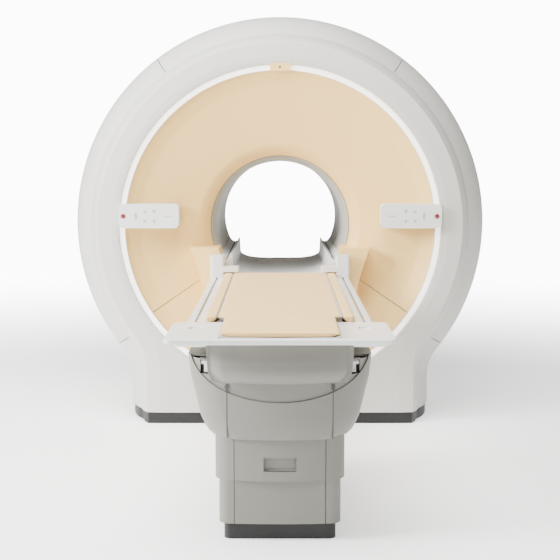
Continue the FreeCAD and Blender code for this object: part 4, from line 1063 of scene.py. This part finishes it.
def swell(piece, voxel, cap):
    """Remeshes a pad, blows it up with the cloth solver and keeps each point within a cap of its place."""
    remesh = piece.modifiers.new("remesh", "REMESH")
    remesh.mode = "VOXEL"
    remesh.voxel_size = voxel
    remesh.use_smooth_shade = True
    apply_modifiers(piece)
    start = read_points(piece.data)
    cloth = piece.modifiers.new("cloth", "CLOTH")
    cloth.settings.use_pressure = True
    cloth.settings.uniform_pressure_force = 4.0
    cloth.settings.effector_weights.gravity = 0.0
    cloth.point_cache.frame_end = SWELL_FRAMES
    scene = bpy.context.scene
    for step in range(1, SWELL_FRAMES + 1):
        scene.frame_set(step)
    apply_modifiers(piece)
    scene.frame_set(1)
    move = read_points(piece.data) - start
    length = np.linalg.norm(move, axis=1, keepdims=True)
    move *= np.minimum(1.0, cap / np.maximum(length, 1e-9))
    piece.data.polygons.foreach_set("use_smooth", np.ones(len(piece.data.polygons), bool))
    write_points(piece.data, start + move)


class FinishCadParts(Maker):
    """Gives every other CAD piece the finish of its material slot"""
    bl_idname = "scanner.cad_finishes"
    bl_label = "Inner parts"

    def make(self, sizes):
        record = frame["record"]
        slots = {}
        for row in record["subparts"]:
            for node in row.get("nodes", [row.get("node")]):
                slots[node] = row.get("material_slot") or row.get("slot")
        for name, node in frame["nodes"].items():
            if node.hide_render:
                continue
            slot = slots.get(name)
            if slot not in SLOT_FINISH:
                raise RuntimeError(f"no finish for {name}: {slot}")
            node.data.materials.clear()
            node.data.materials.append(finish(PAINTED.get(name, SLOT_FINISH[slot])))


class MakeStage(Maker):
    """Pale floor, soft studio light and the camera"""
    bl_idname = "scanner.stage"
    bl_label = "Stage"

    def make(self, sizes):
        scene = bpy.context.scene
        plane = bpy.data.meshes.new("floor")
        corners = [(-30, -30, -0.0005), (30, -30, -0.0005), (30, 30, -0.0005), (-30, 30, -0.0005)]
        plane.from_pydata(corners, [], [(0, 1, 2, 3)])
        material, tree, surface, spot = new_material("studio floor", **{"Roughness": 0.55,
                                                     "Emission Color": (1.0, 1.0, 1.0, 1.0)})
        # the floor glows, and far from the object it shows as bright as the backdrop, as a studio sweep does
        away = add_node(tree, "ShaderNodeVectorMath", {0: spot, 1: (0.0, -1.2, 0.0)}, operation="DISTANCE")
        sweep = add_node(tree, "ShaderNodeMapRange", {"Value": away.outputs["Value"], "From Min": 2.5,
                                                      "From Max": 9.0, "To Min": 1.1, "To Max": 11.0},
                         interpolation_type="SMOOTHSTEP")
        sight = add_node(tree, "ShaderNodeLightPath").outputs["Is Camera Ray"]
        glow = add_node(tree, "ShaderNodeMapRange", {"Value": sight, "To Min": 0.95,
                                                     "To Max": sweep.outputs["Result"]})
        connect(tree, glow.outputs["Result"], surface, "Emission Strength")
        connect(tree, varied_colour(tree, spot, "#F4F4F2", 900.0, 0.004), surface, "Base Color")
        plane.materials.append(material)
        floor = add_object("floor", plane)
        world = bpy.data.worlds.new("studio")
        world.use_nodes = True
        # an even white sky that gives soft light, and shows as a bright backdrop
        sky = world.node_tree
        seen = add_node(sky, "ShaderNodeLightPath").outputs["Is Camera Ray"]
        glow = add_node(sky, "ShaderNodeMapRange", {"Value": seen, "To Min": 0.20, "To Max": 12.0})
        background = sky.nodes["Background"]
        background.inputs["Color"].default_value = (1.0, 1.0, 1.0, 1.0)
        connect(sky, glow.outputs["Result"], background, "Strength")
        scene.world = world
        lamps = (("key", (-6.0, -4.0, 3.6), (0, -1.0, 1.1), 2.6, 1300.0),
                 ("fill", (5.0, -5.5, 3.0), (0, -1.0, 0.9), 4.0, 20.0),
                 ("top", (-0.8, -3.0, 6.0), (0, -1.4, 0.9), 4.5, 850.0))
        for name, spot, aim, size, power in lamps:
            light = bpy.data.lights.new(name, "AREA")
            light.shape = "SQUARE"
            light.size = size
            light.energy = power
            lamp = add_object(name, light)
            direction = np.array(aim) - np.array(spot)
            lamp.location = spot
            lamp.rotation_euler = (pi / 2 + np.arcsin(direction[2] / np.linalg.norm(direction)), 0,
                                   np.arctan2(-direction[0], direction[1]))
        camera = bpy.data.cameras.new("camera")
        camera.lens = 79.02
        camera.sensor_width = 36.0
        eye = add_object("camera", camera)
        eye.location = (0.0, -7.4003, 1.4837)
        eye.rotation_euler = (radians(90 - 6.007), 0, 0)
        scene.camera = eye


MAKERS = (MakeCovers, MakeFunnels, MakeRing, MakeBridge, MakeControls, MakePedestal, MakeTableBody,
          MakeTabletop, MakePads, FinishCadParts, MakeStage)


# ---- sidebar --------------------------------------------------------------------------------------
class ScannerSizes(bpy.types.PropertyGroup):
    cover_edge: bpy.props.FloatProperty(name="Cover edge", description="Edge radius of the moulded covers",
                                        default=0.0025, subtype="DISTANCE", unit="LENGTH")
    table_edge: bpy.props.FloatProperty(name="Table edge", description="Edge radius of the table's covers",
                                        default=0.0015, subtype="DISTANCE", unit="LENGTH")
    glow: bpy.props.FloatProperty(name="Ring glow", description="Brightness of the light ring", default=1.6,
                                  min=0)


def colour_property(name, description, code):
    return bpy.props.StringProperty(name=name, description=description, default=code)


class ScannerColours(bpy.types.PropertyGroup):
    cover: colour_property("Covers", "Warm light grey of the shells and end covers, sRGB hex", "#C4C2BB")
    funnel: colour_property("Funnel", "Cream of the funnel and pod, sRGB hex", "#EBC47A")
    bore: colour_property("Bore", "Grey of the patient tube, sRGB hex", "#A9A79C")
    panel: colour_property("Panels", "White of the control panels and rails, sRGB hex", "#D9D9D7")
    table: colour_property("Table body", "Grey of the table's covers, sRGB hex", "#75736B")
    plinth: colour_property("Kickboards", "Black of the kickboards, sRGB hex", "#0C0C0C")
    ring: colour_property("Light ring", "Warm white of the light ring, sRGB hex", "#FFFAEE")
    pad: colour_property("Pads", "Cream of the mattress and arm pads, sRGB hex", "#E8C07C")
    stop: colour_property("Stop buttons", "Maroon of the stop buttons, sRGB hex", "#7A1F24")
    key: colour_property("Keys", "Printed keys and status strips, sRGB hex", "#A9ABA9")
    # slot colour: the dark material of the painted shade in seams, slot bottoms, holes and lever recesses, and
    # of the tab's lens
    slot: colour_property("Slots", "Dark seals and lens, sRGB hex", "#3A3A38")
    lever: colour_property("Levers", "Pale grey of the release levers, sRGB hex", "#C9C8C4")


class ScannerPanel(bpy.types.Panel):
    """Sizes, colours and makers of the scanner"""
    bl_idname = "SCANNER_PT_make"
    bl_label = "Scanner"
    bl_space_type = "VIEW_3D"
    bl_region_type = "UI"
    bl_category = "Scanner"

    def draw(self, context):
        for group in (context.scene.scanner_sizes, context.scene.scanner_colours):
            for name in group.__annotations__:
                self.layout.prop(group, name)
        for maker in MAKERS:
            self.layout.operator(maker.bl_idname)


CLASSES = (ScannerSizes, ScannerColours, *MAKERS, ScannerPanel)


def register():
    for cls in CLASSES:
        bpy.utils.register_class(cls)
    bpy.types.Scene.scanner_sizes = bpy.props.PointerProperty(type=ScannerSizes)
    bpy.types.Scene.scanner_colours = bpy.props.PointerProperty(type=ScannerColours)


def unregister():
    del bpy.types.Scene.scanner_sizes
    del bpy.types.Scene.scanner_colours
    for cls in reversed(CLASSES):
        bpy.utils.unregister_class(cls)


def main():
    register()
    for maker in MAKERS:
        group, name = maker.bl_idname.split(".")
        getattr(getattr(bpy.ops, group), name)()


if __name__ == "__main__":
    main()
